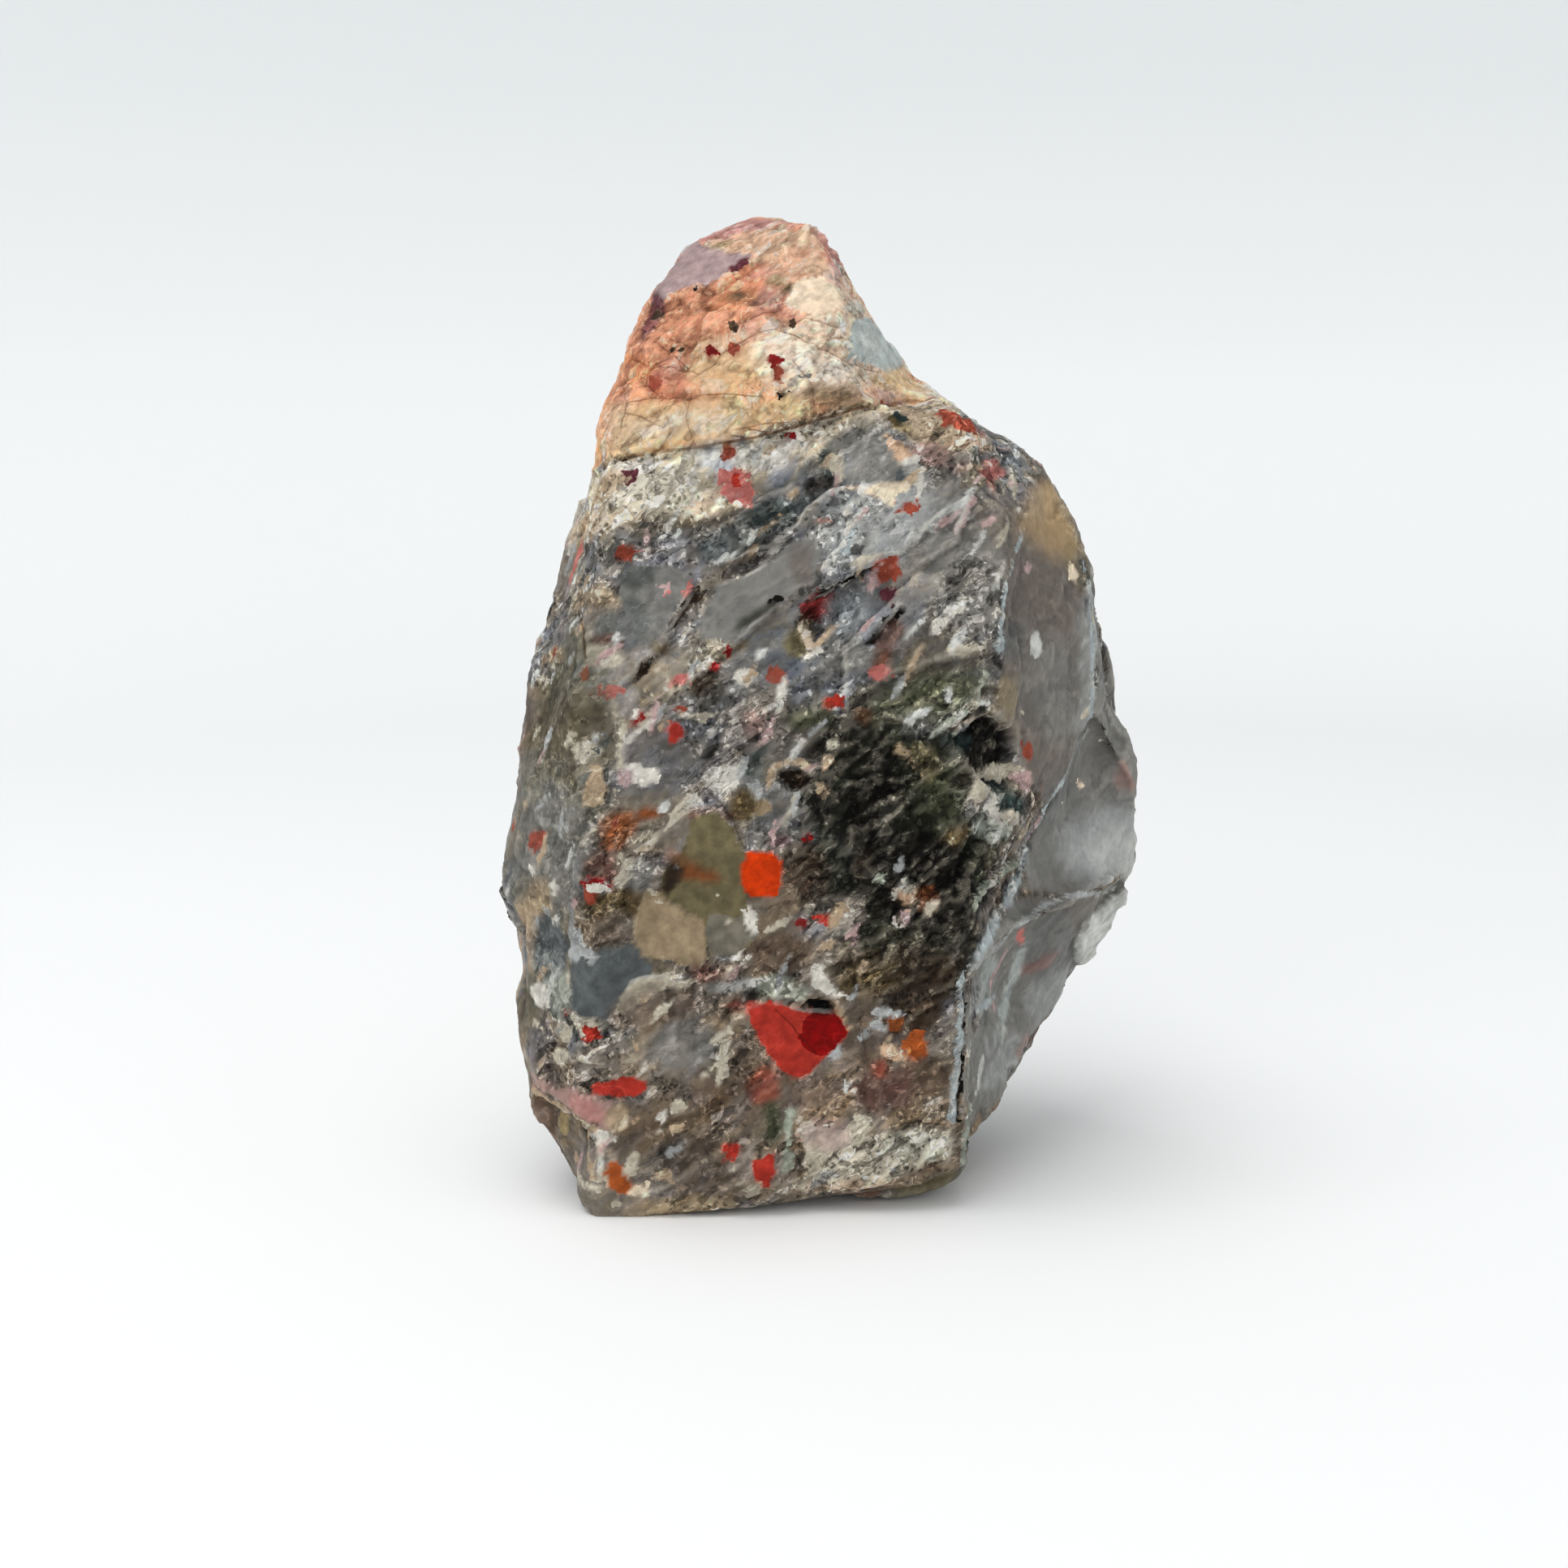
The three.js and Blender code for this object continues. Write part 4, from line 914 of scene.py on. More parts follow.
@dataclass
class Skin(Surface):
    """The stone's smooth surface, with its normals and what the photograph sees of it."""

    photo: Photo
    clearance: float = 0.15
    turned_away: float = 0.25
    normals: Array = field(init=False)
    seen: Array = field(init=False)
    pixels: Array = field(init=False)
    tree: BVHTree = field(init=False)

    def __post_init__(self) -> None:
        """Measures the surface as it is handed over."""
        self.normals = self.measured_normals()
        self.tree = BVHTree.FromPolygons([tuple(p) for p in self.points], [tuple(f) for f in self.faces])
        self.pixels = self.photo.pixels(self.points)
        eye = np.array(self.photo.place) / MM
        toward = eye - self.points
        toward /= np.linalg.norm(toward, axis=1, keepdims=True)
        facing = (self.normals * toward).sum(axis=1)
        clear = np.zeros(len(self.points))
        for index in np.flatnonzero(facing > 0):
            start = self.points[index] + self.normals[index] * self.clearance
            hit = self.tree.ray_cast(Vector(start), Vector(toward[index]))
            clear[index] = hit[0] is None
        self.seen = self.spread(clear, 2) * ease(facing, 0.0, self.turned_away)

    def hit(self, pixel: Pixel) -> tuple[Array, Array]:
        """Where the line of sight through a pixel meets the stone, or passes nearest to it.

        Args:
            pixel: Across and down in the photograph.

        Returns:
            The place on the surface and the normal there.
        """
        eye = Vector(self.photo.place) / MM
        sight = Vector(self.photo.ray(pixel)).normalized()
        place, normal, _, _ = self.tree.ray_cast(eye, sight)
        if place is None:
            passing = eye + sight * (-eye.y / sight.y)
            place, normal, _, _ = self.tree.find_nearest(passing)
        return np.array(place), np.array(normal)


@dataclass(frozen=True)
class Brush:
    """How marks and lines are laid, in millimetres unless the name says pixels.

    Wide marks are laid by where the photograph sees them, and the others are pressed on flat. A crisp mark
    goes to the upper layer where others already crowd its place.
    """

    crisp_fade: float = 0.15
    rim: float = 0.4
    shown_enough: float = 0.4
    covered: float = 0.2
    crowded: float = 0.25
    wide_pixels: float = 60
    margin_pixels: float = 30
    seen_enough: float = 0.02
    stride_pixels: float = 8
    grazing: float = 0.4
    reach: float = 1.5
    thickness: float = 0.7
    same_side: float = 0.1
    line_reach: float = 0.9
    groove: float = 0.35
    wander: float = 0.10
    crack_ends: float = 0.06
    step_ends: float = 0.12
    step_edge: float = 0.35
    step_stray: float = 0.25
    rim_offset: float = 0.12
    rim_width: float = 0.16


@dataclass
class Paint:
    """What is painted on the surface: its tint, its crisp chips, how calm it is and how far it is lifted."""

    skin: Skin
    tint: Array
    chip: Array
    chip_tint: Array
    top: Array
    top_tint: Array
    calm: Array
    lift: Array
    stray: Array
    line: Array
    line_gap: Array
    line_dark: Array
    ledge: Array
    chip_fray: Array
    top_fray: Array
    brush: Brush = field(default_factory=Brush)

    @classmethod
    def blank(cls, skin: Skin) -> Paint:
        """A surface with nothing on it but the unevenness that marks' edges follow."""
        count = len(skin.points)
        stray = cloud(skin.points, 1.6, SEED + 1, 3)
        tints = {name: np.full((count, 3), 0.2) for name in ("tint", "chip_tint", "top_tint")}
        outside = {name: np.full(count, -1.0) for name in ("chip", "top")}
        nothing = {name: np.zeros(count) for name in ("calm", "lift", "line_dark", "ledge")}
        whole = {name: np.ones(count) for name in ("line", "line_gap", "chip_fray", "top_fray")}
        return cls(skin=skin, stray=stray, **tints, **outside, **nothing, **whole)

    def lay(self, chosen: Array, inside: Array, mark: Mark, shown: Array) -> None:
        """Lays a mark on some points.

        Args:
            chosen: The points' numbers.
            inside: How far each lies inside the mark, in millimetres.
            mark: What the mark looks like.
            shown: How much of the mark each point shows.
        """
        inside = inside + self.stray[chosen] * mark.ragged
        brush = self.brush
        fade = brush.crisp_fade if mark.crisp else mark.fade / 2
        share = ease(inside, -fade, fade) * shown
        colour = mark.tint.linear()
        blend = (share * mark.strength)[:, None]
        for painted in (self.tint,) if mark.crisp else (self.tint, self.chip_tint, self.top_tint):
            painted[chosen] = painted[chosen] * (1 - blend) + colour * blend
        if mark.calm is not None:
            self.calm[chosen] = self.calm[chosen] * (1 - share) + mark.calm * share
        self.lift[chosen] = self.lift[chosen] + mark.lift * share
        if mark.crisp:
            core = chosen[inside > 0]
            crowded = len(core) > 0 and np.mean(self.chip[core] > brush.covered) > brush.crowded
            over = mark.over or crowded
            layer, layer_tint, fray = ((self.top, self.top_tint, self.top_fray) if over else
                                       (self.chip, self.chip_tint, self.chip_fray))
            value = np.clip(inside, -1, 1)
            near = (inside > -brush.rim) & (shown > brush.shown_enough)
            near &= (inside > 0) | (value > layer[chosen])
            fray[chosen[near]] = mark.fray
            layer[chosen[near]] = value[near]
            layer_tint[chosen[near]] = self.tint[chosen[near]] * (1 - mark.strength) + colour * mark.strength

    def stamp(self, mark: Mark, centre: Array, normal: Array, outline: Array) -> None:
        """Presses a flat outline onto the surface.

        Args:
            mark: What the mark looks like.
            centre: The place it is pressed on.
            normal: The direction it is pressed along.
            outline: Its corners in millimetres, in space.
        """
        first = outline[0] - centre
        first -= normal * (first @ normal)
        first /= np.linalg.norm(first)
        plane = np.stack([first, np.cross(normal, first)], axis=1)
        corners = (outline - centre) @ plane
        reach = np.abs(corners).max() + self.brush.reach
        offset = self.skin.points - centre
        chosen = np.flatnonzero((np.abs(offset) < reach + self.brush.reach).all(axis=1))
        chosen = chosen[np.abs(offset[chosen] @ normal) < self.brush.thickness * reach + 1.0]
        chosen = chosen[self.skin.normals[chosen] @ normal > self.brush.same_side]
        self.lay(chosen, signed_distance(offset[chosen] @ plane, corners), mark, np.ones(len(chosen)))

    def trace(self, mark: Vein) -> None:
        """Draws a line over the surface along its path of pixels."""
        path = self.walked(mark.path)
        chosen = self.around(path, self.brush.reach)
        best = self.nearest(self.skin.points[chosen], path)[0]
        self.lay(chosen, mark.width / PIXELS_PER_MM / 2 - best, mark, np.ones(len(chosen)))

    def around(self, path: Array, reach: float) -> Array:
        """The numbers of the points that lie in a path's box or within reach of it."""
        points = self.skin.points
        low, high = path.min(axis=0) - reach, path.max(axis=0) + reach
        return np.flatnonzero(((points > low) & (points < high)).all(axis=1))

    def walked(self, path: tuple[Pixel, ...]) -> Array:
        """The places on the stone along a path of pixels, a stride apart."""
        places = []
        for start, end in zip(path, path[1:]):
            pieces = max(1, round(math.dist(start, end) / self.brush.stride_pixels))
            for step in range(pieces):
                part = step / pieces
                places.append(self.skin.hit((start[0] + (end[0] - start[0]) * part,
                                             start[1] + (end[1] - start[1]) * part))[0])
        places.append(self.skin.hit(path[-1])[0])
        return np.array(places)

    def nearest(self, points: Array, path: Array) -> tuple[Array, Array, Array]:
        """The nearest place of a path to each point.

        Args:
            points: The points in millimetres.
            path: The path's places in order.

        Returns:
            The distance, the number of the nearest stretch, and the part of the whole path passed there.
        """
        best = np.full(len(points), np.inf)
        stretch = np.zeros(len(points), dtype=int)
        passed = np.zeros(len(points))
        for number, (start, end) in enumerate(zip(path, path[1:])):
            side = end - start
            offset = points - start
            along = np.clip(offset @ side / max(side @ side, TINY), 0, 1)
            gap = np.sqrt(((offset - along[:, None] * side) ** 2).sum(axis=1))
            closer = gap < best
            best[closer] = gap[closer]
            stretch[closer] = number
            passed[closer] = (number + along[closer]) / (len(path) - 1)
        return best, stretch, passed

    def put(self, mark: Mark) -> None:
        """Puts one of the photograph's marks in its place."""
        if isinstance(mark, Vein):
            self.trace(mark)
            return
        corners = np.array(mark.corners(), dtype=float)
        middle = corners.mean(axis=0)
        brush = self.brush
        if np.ptp(corners, axis=0).max() > brush.wide_pixels:
            pixels = self.skin.pixels
            low, high = corners.min(axis=0) - brush.margin_pixels, corners.max(axis=0) + brush.margin_pixels
            within = ((pixels > low) & (pixels < high)).all(axis=1)
            chosen = np.flatnonzero(within & (self.skin.seen > brush.seen_enough))
            inside = signed_distance(pixels[chosen], corners) / PIXELS_PER_MM
            self.lay(chosen, inside, mark, self.skin.seen[chosen])
            return
        centre, normal = self.skin.hit((middle[0], middle[1]))
        eye = np.array(self.skin.photo.place) / MM
        outline = []
        for corner in corners:
            sight = self.skin.photo.ray((corner[0], corner[1]))
            slope = sight @ normal
            if -slope / np.linalg.norm(sight) >= brush.grazing:
                away = ((centre - eye) @ normal) / slope
            else:
                away = np.linalg.norm(centre - eye) / np.linalg.norm(sight)
            outline.append(eye + sight * away)
        self.stamp(mark, centre, normal, np.array(outline))

    def crack(self, crack: Crack) -> None:
        """Draws a hairline and cuts a fine groove along it."""
        brush = self.brush
        path = self.walked(crack.path)
        points = self.skin.points
        chosen = self.around(path, 2)
        best, stretch, passed = self.nearest(points[chosen], path)
        side = self.side_of(path, stretch, chosen)
        ends = ease(passed, 0.0, brush.crack_ends) * (1 - ease(passed, 1 - brush.crack_ends, 1.0))
        near = best < np.minimum(self.line_gap[chosen], brush.line_reach)
        picked = chosen[near]
        wander = self.stray[picked] * brush.wander
        self.line[picked] = (best * side)[near] / crack.width + wander / crack.width
        self.line_gap[picked] = best[near]
        uneven = ease(cloud(points[picked], 3.0, SEED + 8), -0.8, 0.4)
        self.line_dark[picked] = crack.dark * (0.35 + 0.65 * ends[near]) * (0.45 + 0.55 * uneven)
        self.lift[chosen] -= crack.depth * np.exp(-((best / brush.groove) ** 2)) * ends

    def side_of(self, path: Array, stretch: Array, chosen: Array) -> Array:
        """On which side of a path points lie in the photograph: 1 to the right of its course, or else -1."""
        on_photo = self.skin.photo.pixels(path)
        start, end, here = on_photo[stretch], on_photo[stretch + 1], self.skin.pixels[chosen]
        run, offset = end - start, here - start
        return np.where(run[:, 0] * offset[:, 1] - run[:, 1] * offset[:, 0] > 0, 1.0, -1.0)

    def step(self, step: Step) -> None:
        """Drops the surface to one side of a broken edge and draws its pale rim."""
        brush = self.brush
        path = self.walked(step.path)
        points = self.skin.points
        chosen = self.around(path, 6)
        best, stretch, passed = self.nearest(points[chosen], path)
        side = best * self.side_of(path, stretch, chosen) * step.side + self.stray[chosen] * brush.step_stray
        ends = ease(passed, 0.0, brush.step_ends) * (1 - ease(passed, 1 - brush.step_ends, 1.0))
        drop = step.drop * ease(side, 0.0, brush.step_edge) * np.exp(-np.maximum(side, 0) / step.run) * ends
        self.lift[chosen] -= drop * self.skin.seen[chosen]
        edge = side + brush.rim_offset
        near = best < np.minimum(self.line_gap[chosen], brush.line_reach)
        picked = chosen[near]
        self.line[picked] = edge[near] / brush.rim_width
        self.line_gap[picked] = np.abs(edge[near])
        broken = ease(self.stray[picked] + cloud(points[picked], 1.8, SEED + 7), -0.5, 0.5)
        self.line_dark[picked] = -step.lit * ends[near] * self.skin.seen[picked] * broken


@dataclass
class Ground:
    """The stone's own colours under its marks: a cap above the crack, a pale band, and the body below.

    Each plane carries a vein round the unseen sides: its direction, how far along it the plane lies in
    millimetres, and how dark the vein is, or how pale where the number is negative.
    """

    paint: Paint
    planes: tuple[tuple[float, float, float, float, float], ...] = (
        (-0.6, 0.2, 1.0, 30.0, 0.7), (-0.9, 0.1, 1.0, 18.0, -0.8), (0.8, -0.2, 1.0, 44.0, 0.6),
        (-0.5, 0.0, 1.0, 50.0, -0.8), (1.0, 0.1, 0.5, 12.0, 0.6), (-0.7, 0.3, 1.0, 8.0, 0.7),
        (0.2, 0.3, 1.0, 68.0, 0.6), (-1.0, 0.2, 0.7, 40.0, -0.6))
    band_places: tuple[float, ...] = (-20, -8, 2, 12)
    band_widths: tuple[float, ...] = (6.0, 4.5, 1.5, 0.8)
    lightness: float = 1.25
    cap: Array = field(init=False)
    band: Array = field(init=False)
    height: Array = field(init=False)

    def __post_init__(self) -> None:
        """Finds how much of each point is cap and band."""
        points = self.paint.skin.points
        crack = self.paint.walked(CRACK)
        level = np.interp(points[:, 0], crack[:, 0], crack[:, 2])
        height = points[:, 2] - level + 0.12 * (points[:, 1] + 8) + cloud(points, 5, SEED + 3) * 0.4
        self.height = height
        self.cap = ease(height, -0.2, 0.2)
        thick = np.interp(points[:, 0], self.band_places, self.band_widths) + cloud(points, 4, SEED + 4) * 1.2
        self.band = ease(height + thick, -0.8, 0.8) * (1 - self.cap)

    def seams(self) -> None:
        """Carries the crack under the cap round the back, with wandering dark and pale veins."""
        paint = self.paint
        points = paint.skin.points
        hidden = 1 - ease(paint.skin.spread(paint.skin.seen, 6), 0.02, 0.3)
        lines = [(self.height, 0.15, 0.85)]
        for number, (x, y, z, away, dark) in enumerate(self.planes):
            level = points @ np.array((x, y, z)) / math.hypot(x, y, z) - away
            lines.append((level + cloud(points, 7, SEED + 120 + number, 4) * 0.9, 0.08, dark))
        for number, (level, width, dark) in enumerate(lines):
            size, low = (9, -0.1) if number else (4, -0.7)
            shown = hidden * ease(cloud(points, size, SEED + 9 + number), low, 0.3)
            near = (np.abs(level) < np.minimum(paint.line_gap, 0.7)) & (hidden > 0.05)
            paint.line[near] = level[near] / width
            paint.line_gap[near] = np.abs(level[near])
            paint.line_dark[near] = dark * shown[near]
            paint.lift -= max(dark, 0) * 0.3 * np.exp(-((level / 0.35) ** 2)) * hidden

    def mixed(self, weights: list[tuple[Tint, Array]]) -> Array:
        """Colours blended by the weight of each."""
        total = sum(np.maximum(weight, 0)[:, None] for _, weight in weights)
        blend = sum(np.maximum(weight, 0)[:, None] * tint.linear() for tint, weight in weights)
        return blend / np.maximum(total, TINY)

    def colours(self) -> Array:
        """The ground colour at every point."""
        points = self.paint.skin.points
        x, y, z = points.T
        wide = [cloud(points, 14, SEED + 20 + k) for k in range(4)]
        mid = [cloud(points, 5, SEED + 30 + k) for k in range(4)]
        cap = self.mixed([
            (Tint.SALMON, 0.8 + wide[0] + 0.6 * mid[0] - x * 0.06),
            (Tint.CREAM, 0.3 + wide[1] + mid[1] * 0.5 + x * 0.08),
            (Tint.YELLOW, 0.5 - (z - 63) * 0.12 + mid[2] * 0.5),
            (Tint.ROSE, 0.1 + (z - 72) * 0.1 + mid[3] * 0.5),
        ])
        band = self.mixed([
            (Tint.BONE, 1.0 + mid[0] * 0.6),
            (Tint.SAND, 0.5 + mid[1] - x * 0.03),
            (Tint.PALE_GREY, 0.3 + mid[2]),
        ])
        low = ease(12 - z + mid[0] * 4, -4, 4)
        body = self.mixed([
            (Tint.GREY, 0.7 + wide[0] + 0.5 * mid[0]),
            (Tint.BLUE_GREY, (z - 42) * 0.05 + wide[1] + 0.6 * mid[1]),
            (Tint.BROWN, 0.6 + wide[2] + 0.6 * mid[2] - (z - 30) * 0.02),
            (Tint.DARK_GREEN, wide[3] * 1.4 - 0.1 + 0.6 * mid[3]),
            (Tint.BROWN_GREY, 0.7 + mid[1] * 0.6),
            (Tint.TAN, low * 0.6 + mid[3] * 0.4 - 0.1),
        ])
        capped, banded = self.cap[:, None], self.band[:, None]
        below = band * self.lightness * banded + body * (1 - banded)
        return cap * self.lightness * capped + (1 - capped) * below


@dataclass
class Scatter:
    """Marks of the photographed kinds on the sides that the photograph doesn't show."""

    count: int = 520
    sliver_count: int = 360
    sliver_tints: tuple[Tint, ...] = (
        Tint.BONE, Tint.WHITE, Tint.PALE_GREY, Tint.PALE_PINK, Tint.SAND, Tint.MILK)
    seed: int = SEED

    def body_kinds(self) -> list[tuple[Mark, float, float]]:
        """Marks of the body, each with its width in millimetres and its length for its width."""
        chips = (
            (Tint.WHITE, 0.9, 2.0), (Tint.BONE, 1.1, 2.2), (Tint.BONE, 0.6, 3.5), (Tint.WHITE, 0.5, 3.0),
            (Tint.BRICK, 1.1, 1.3), (Tint.RED, 1.2, 1.4), (Tint.CRIMSON, 0.8, 1.3), (Tint.PINK, 0.9, 1.5),
            (Tint.SAND, 1.2, 1.7), (Tint.PALE_GREY, 0.9, 2.0), (Tint.TAN, 1.0, 1.8),
            (Tint.DARK_BROWN, 1.1, 1.6))
        patches = (
            (Tint.OLIVE, 4.0, 1.6, 0.8), (Tint.GREY, 5.5, 1.7, 0.85), (Tint.GREY, 4.5, 1.7, 0.8),
            (Tint.BROWN_GREY, 5.0, 1.6, 0.6), (Tint.SLATE, 4.5, 1.6, 0.4), (Tint.BLUE_GREY, 5.0, 1.8, 0.7))
        stains = ((Tint.PURPLE_BROWN, 4.0, 1.3), (Tint.DARK_GREEN, 5.0, 1.6), (Tint.BLACK, 3.0, 1.8),
                  (Tint.RUST, 1.8, 1.3), (Tint.BROWN, 4.0, 1.5))
        kinds = [(Mark(tint, crisp=True, ragged=0.42), width, length) for tint, width, length in chips]
        kinds += [(Mark(tint, fade=0.5, calm=calm, strength=0.75), width, length)
                  for tint, width, length, calm in patches]
        return kinds + [(Mark(tint, fade=1.2, strength=0.7), width, length) for tint, width, length in stains]

    def cap_kinds(self) -> list[tuple[Mark, float, float]]:
        """Marks of the cap, each with its width in millimetres and its length for its width."""
        chips = (
            (Tint.CRIMSON, 0.7, 1.2), (Tint.UMBER, 0.5, 1.3), (Tint.BRICK, 0.8, 1.4), (Tint.CREAM, 1.0, 1.8))
        patches = (
            (Tint.CREAM, 3.5, 1.6, 0.5), (Tint.BRIGHT_SALMON, 3.0, 1.7, 0.5), (Tint.MAUVE, 3.6, 1.6, 0.7),
            (Tint.GOLD, 3.0, 1.6, 0.2), (Tint.WHITE, 3.0, 1.5, 0.3), (Tint.BRICK, 2.4, 1.3, 0.2),
            (Tint.KHAKI, 1.6, 1.6, 0.1), (Tint.MIST, 3.0, 1.6, 0.7))
        kinds = [(Mark(tint, crisp=True, ragged=0.42), width, length) for tint, width, length in chips]
        return kinds + [(Mark(tint, fade=0.8, calm=calm, strength=0.7), width, length)
                        for tint, width, length, calm in patches]

    def course(self, lean: Array, normal: Array) -> tuple[Array, Array]:
        """The directions along and across a mark that leans some way on the surface."""
        along = lean - normal * (lean @ normal)
        along /= max(np.linalg.norm(along), 1e-6)
        return along, np.cross(normal, along)

    def slivers(self, paint: Paint, ground: Ground) -> None:
        """Strews thin pale flakes that lean up to the right over the whole body.

        Args:
            paint: The surface they are pressed on.
            ground: The stone's ground, which says where the body is.
        """
        rng = np.random.default_rng(self.seed + 1)
        skin = paint.skin
        light = paint.tint.mean(axis=1)
        clear = skin.spread((paint.calm > 0.7).astype(float), 7) < 0.03
        body = np.flatnonzero((ground.cap < 0.1) & clear & (light > 0.05) & (skin.points[:, 2] > 1.5))
        often = 0.3 + 0.7 * ease(skin.points[body, 2], 15, 42)
        for point in rng.choice(body, self.sliver_count, p=often / often.sum()):
            draws = rng.random(8)
            centre, normal = skin.points[point], skin.normals[point]
            angle = math.radians(20 + 60 * draws[0])
            lean = np.array((math.cos(angle), 0.0, math.sin(angle)))
            along, across = self.course(lean, normal)
            length, width = 0.5 + 1.4 * draws[1] ** 2, 0.14 + 0.22 * draws[2]
            shape = ((-1, 0), (-0.3, 0.5 + draws[3]), (0.4, 0.3 + draws[4]),
                     (1, 0), (0.3, -0.2 - draws[5]), (-0.5, -draws[6]))
            outline = np.array([centre + along * x * length + across * y * width for x, y in shape])
            tint = self.sliver_tints[int(draws[7] * len(self.sliver_tints))]
            mark = Mark(tint, crisp=True, ragged=0.12, strength=0.85, lift=0.12, fray=0.6)
            paint.stamp(mark, centre, normal, outline)

    def strew(self, paint: Paint, cap: Array) -> None:
        """Presses the marks onto the unseen sides.

        Args:
            paint: The surface they are pressed on.
            cap: How much of each point is cap.
        """
        rng = np.random.default_rng(self.seed)
        skin = paint.skin
        hidden = np.flatnonzero((skin.spread(skin.seen, 12) < 0.08) & (skin.points[:, 2] > 0.5))
        kinds = (self.body_kinds(), self.cap_kinds())
        placed = []
        for point in rng.choice(hidden, self.count):
            options = kinds[int(cap[point] > 0.5)]
            mark, width, length = options[rng.integers(len(options))]
            placed.append((width, point, mark, length, rng.random(14)))
        for width, point, mark, length, draws in sorted(placed, key=lambda item: -item[0]):
            centre, normal = skin.points[point], skin.normals[point]
            lean = np.array((math.cos(2.4 + draws[0]), 0.3 * draws[1], 0.8))
            along, across = self.course(lean, normal)
            outline = []
            sides = 5 if mark.crisp else 8
            for side in range(sides):
                angle = (side + 0.7 * draws[2 + side]) / sides * math.tau
                size = width / 2 * (0.6 + 0.8 * draws[3 + side])
                outline.append(centre + along * math.cos(angle) * size * length
                               + across * math.sin(angle) * size)
            paint.stamp(mark, centre, normal, np.array(outline))


@dataclass
class StoneBody:
    """The stone itself: a fine skin over the solid, with broken faces, steps, pits and cracks worked into it.

    Lengths are in millimetres. Edges of the solid are kept where the surface turns by more degrees than
    kept_edges says. A mottle is a width, a seed and a depth of tone. A facet is a width, a tilt and a step in
    height.
    """

    voxel: float = 0.40
    kept_edges: tuple[float, float] = (7, 20)
    melting: int = 9
    foot_level: float = 0.05
    calm_share: float = 0.2
    mottles: tuple[tuple[float, int, float], ...] = ((4.2, 71, 0.24), (2.0, 72, 0.20), (1.0, 73, 0.08))
    facets: tuple[tuple[float, float, float], ...] = ((6.5, 0.09, 0.34), (3.0, 0.10, 0.16), (1.5, 0.08, 0.05))
    broad_facet: tuple[float, float, float] = (15.0, 0.15, 0.5)
    facet_joint: float = 0.3
    broad_joint: float = 2.2
    # how strongly light and shade are painted along the edges of the broken pieces
    edge_light_and_shade_depth: float = 0.42
    ledge_width: float = 5.5
    ledge_count: float = 2.6
    ledge_height: float = 0.40
    ledge_edge: float = 0.62
    pit_depth: float = 0.12
    grain_height: float = 0.05
    deepest: float = -2.2
    highest: float = 0.9
    photo: Photo = field(default_factory=Photo)

    def build(self, node: bpy.types.Object) -> bpy.types.Object:
        """Makes the finished stone over its solid.

        Args:
            node: The solid, which is left as it is.

        Returns:
            The stone, with its colours stored on its points.
        """
        mesh = self.skinned(node)
        points, edges, faces = self.numbers(mesh)
        skin = Skin(self.smoothed(points, edges, faces), edges, faces, self.photo)
        paint = Paint.blank(skin)
        ground = Ground(paint)
        paint.tint[:] = ground.colours()
        self.mottle(paint, ground.cap)
        scatter = Scatter()
        scatter.strew(paint, ground.cap)
        for mark in MARKS:
            paint.put(mark)
        scatter.slivers(paint, ground)
        ground.seams()
        for crack in CRACKS:
            paint.crack(crack)
        for step in STEPS:
            paint.step(step)
        uneven = np.exp(cloud(skin.points, 2.4, SEED + 110, 4) * 0.12)[:, None]
        for painted in (paint.tint, paint.chip_tint, paint.top_tint):
            painted *= uneven
        pale_here = ease(paint.tint.mean(axis=1), 0.035, 0.10)
        smooth_here = ease(cloud(skin.points, 5.0, SEED + 40, 3), -0.25, 0.40) * 0.72 * pale_here
        smooth_here *= 1 - 0.65 * ground.cap - 0.6 * ground.band
        paint.calm[:] = np.maximum(paint.calm, smooth_here + 0.42 * ground.cap + 0.12 * ground.band)
        moved = self.relief(skin, paint, ground.cap)
        # pale broken edges, and painted shade that darkens the hollows
        self.pale_edges_and_hollow_shade(skin, paint, moved)
        mesh.vertices.foreach_set("co", (moved * MM).astype(np.float32).ravel())
        mesh.update()
        self.store(mesh, paint)
        stone = bpy.data.objects.new("bloodstone_skin", mesh)
        bpy.context.scene.collection.objects.link(stone)
        return stone

    def skinned(self, node: bpy.types.Object) -> bpy.types.Mesh:
        """An even skin of small quads over the solid.

        Args:
            node: The solid.

        Returns:
            A new mesh in metres.
        """
        solid = bmesh.new()
        solid.from_mesh(node.data)
        bmesh.ops.remove_doubles(solid, verts=solid.verts, dist=1e-6)
        mesh = bpy.data.meshes.new("solid_copy")
        solid.to_mesh(mesh)
        solid.free()
        copy = bpy.data.objects.new("solid_copy", mesh)
        bpy.context.scene.collection.objects.link(copy)
        remesh = copy.modifiers.new("even skin", "REMESH")
        remesh.mode = "VOXEL"
        remesh.voxel_size = self.voxel * MM
        ready = copy.evaluated_get(bpy.context.evaluated_depsgraph_get())
        skin = bpy.data.meshes.new_from_object(ready)
        bpy.data.objects.remove(copy)
        skin.name = "bloodstone_skin"
        skin.materials.clear()
        return skin

    def numbers(self, mesh: bpy.types.Mesh) -> tuple[Array, Array, Array]:
        """The mesh's points in millimetres, its edges and its four-sided faces."""
        points = np.empty(len(mesh.vertices) * 3, dtype=np.float64)
        mesh.vertices.foreach_get("co", points)
        edges = np.empty(len(mesh.edges) * 2, dtype=np.int64)
        mesh.edges.foreach_get("vertices", edges)
        faces = np.array([(*face.vertices, face.vertices[-1])[:4] for face in mesh.polygons], dtype=np.int64)
        return points.reshape(-1, 3) / MM, edges.reshape(-1, 2), faces

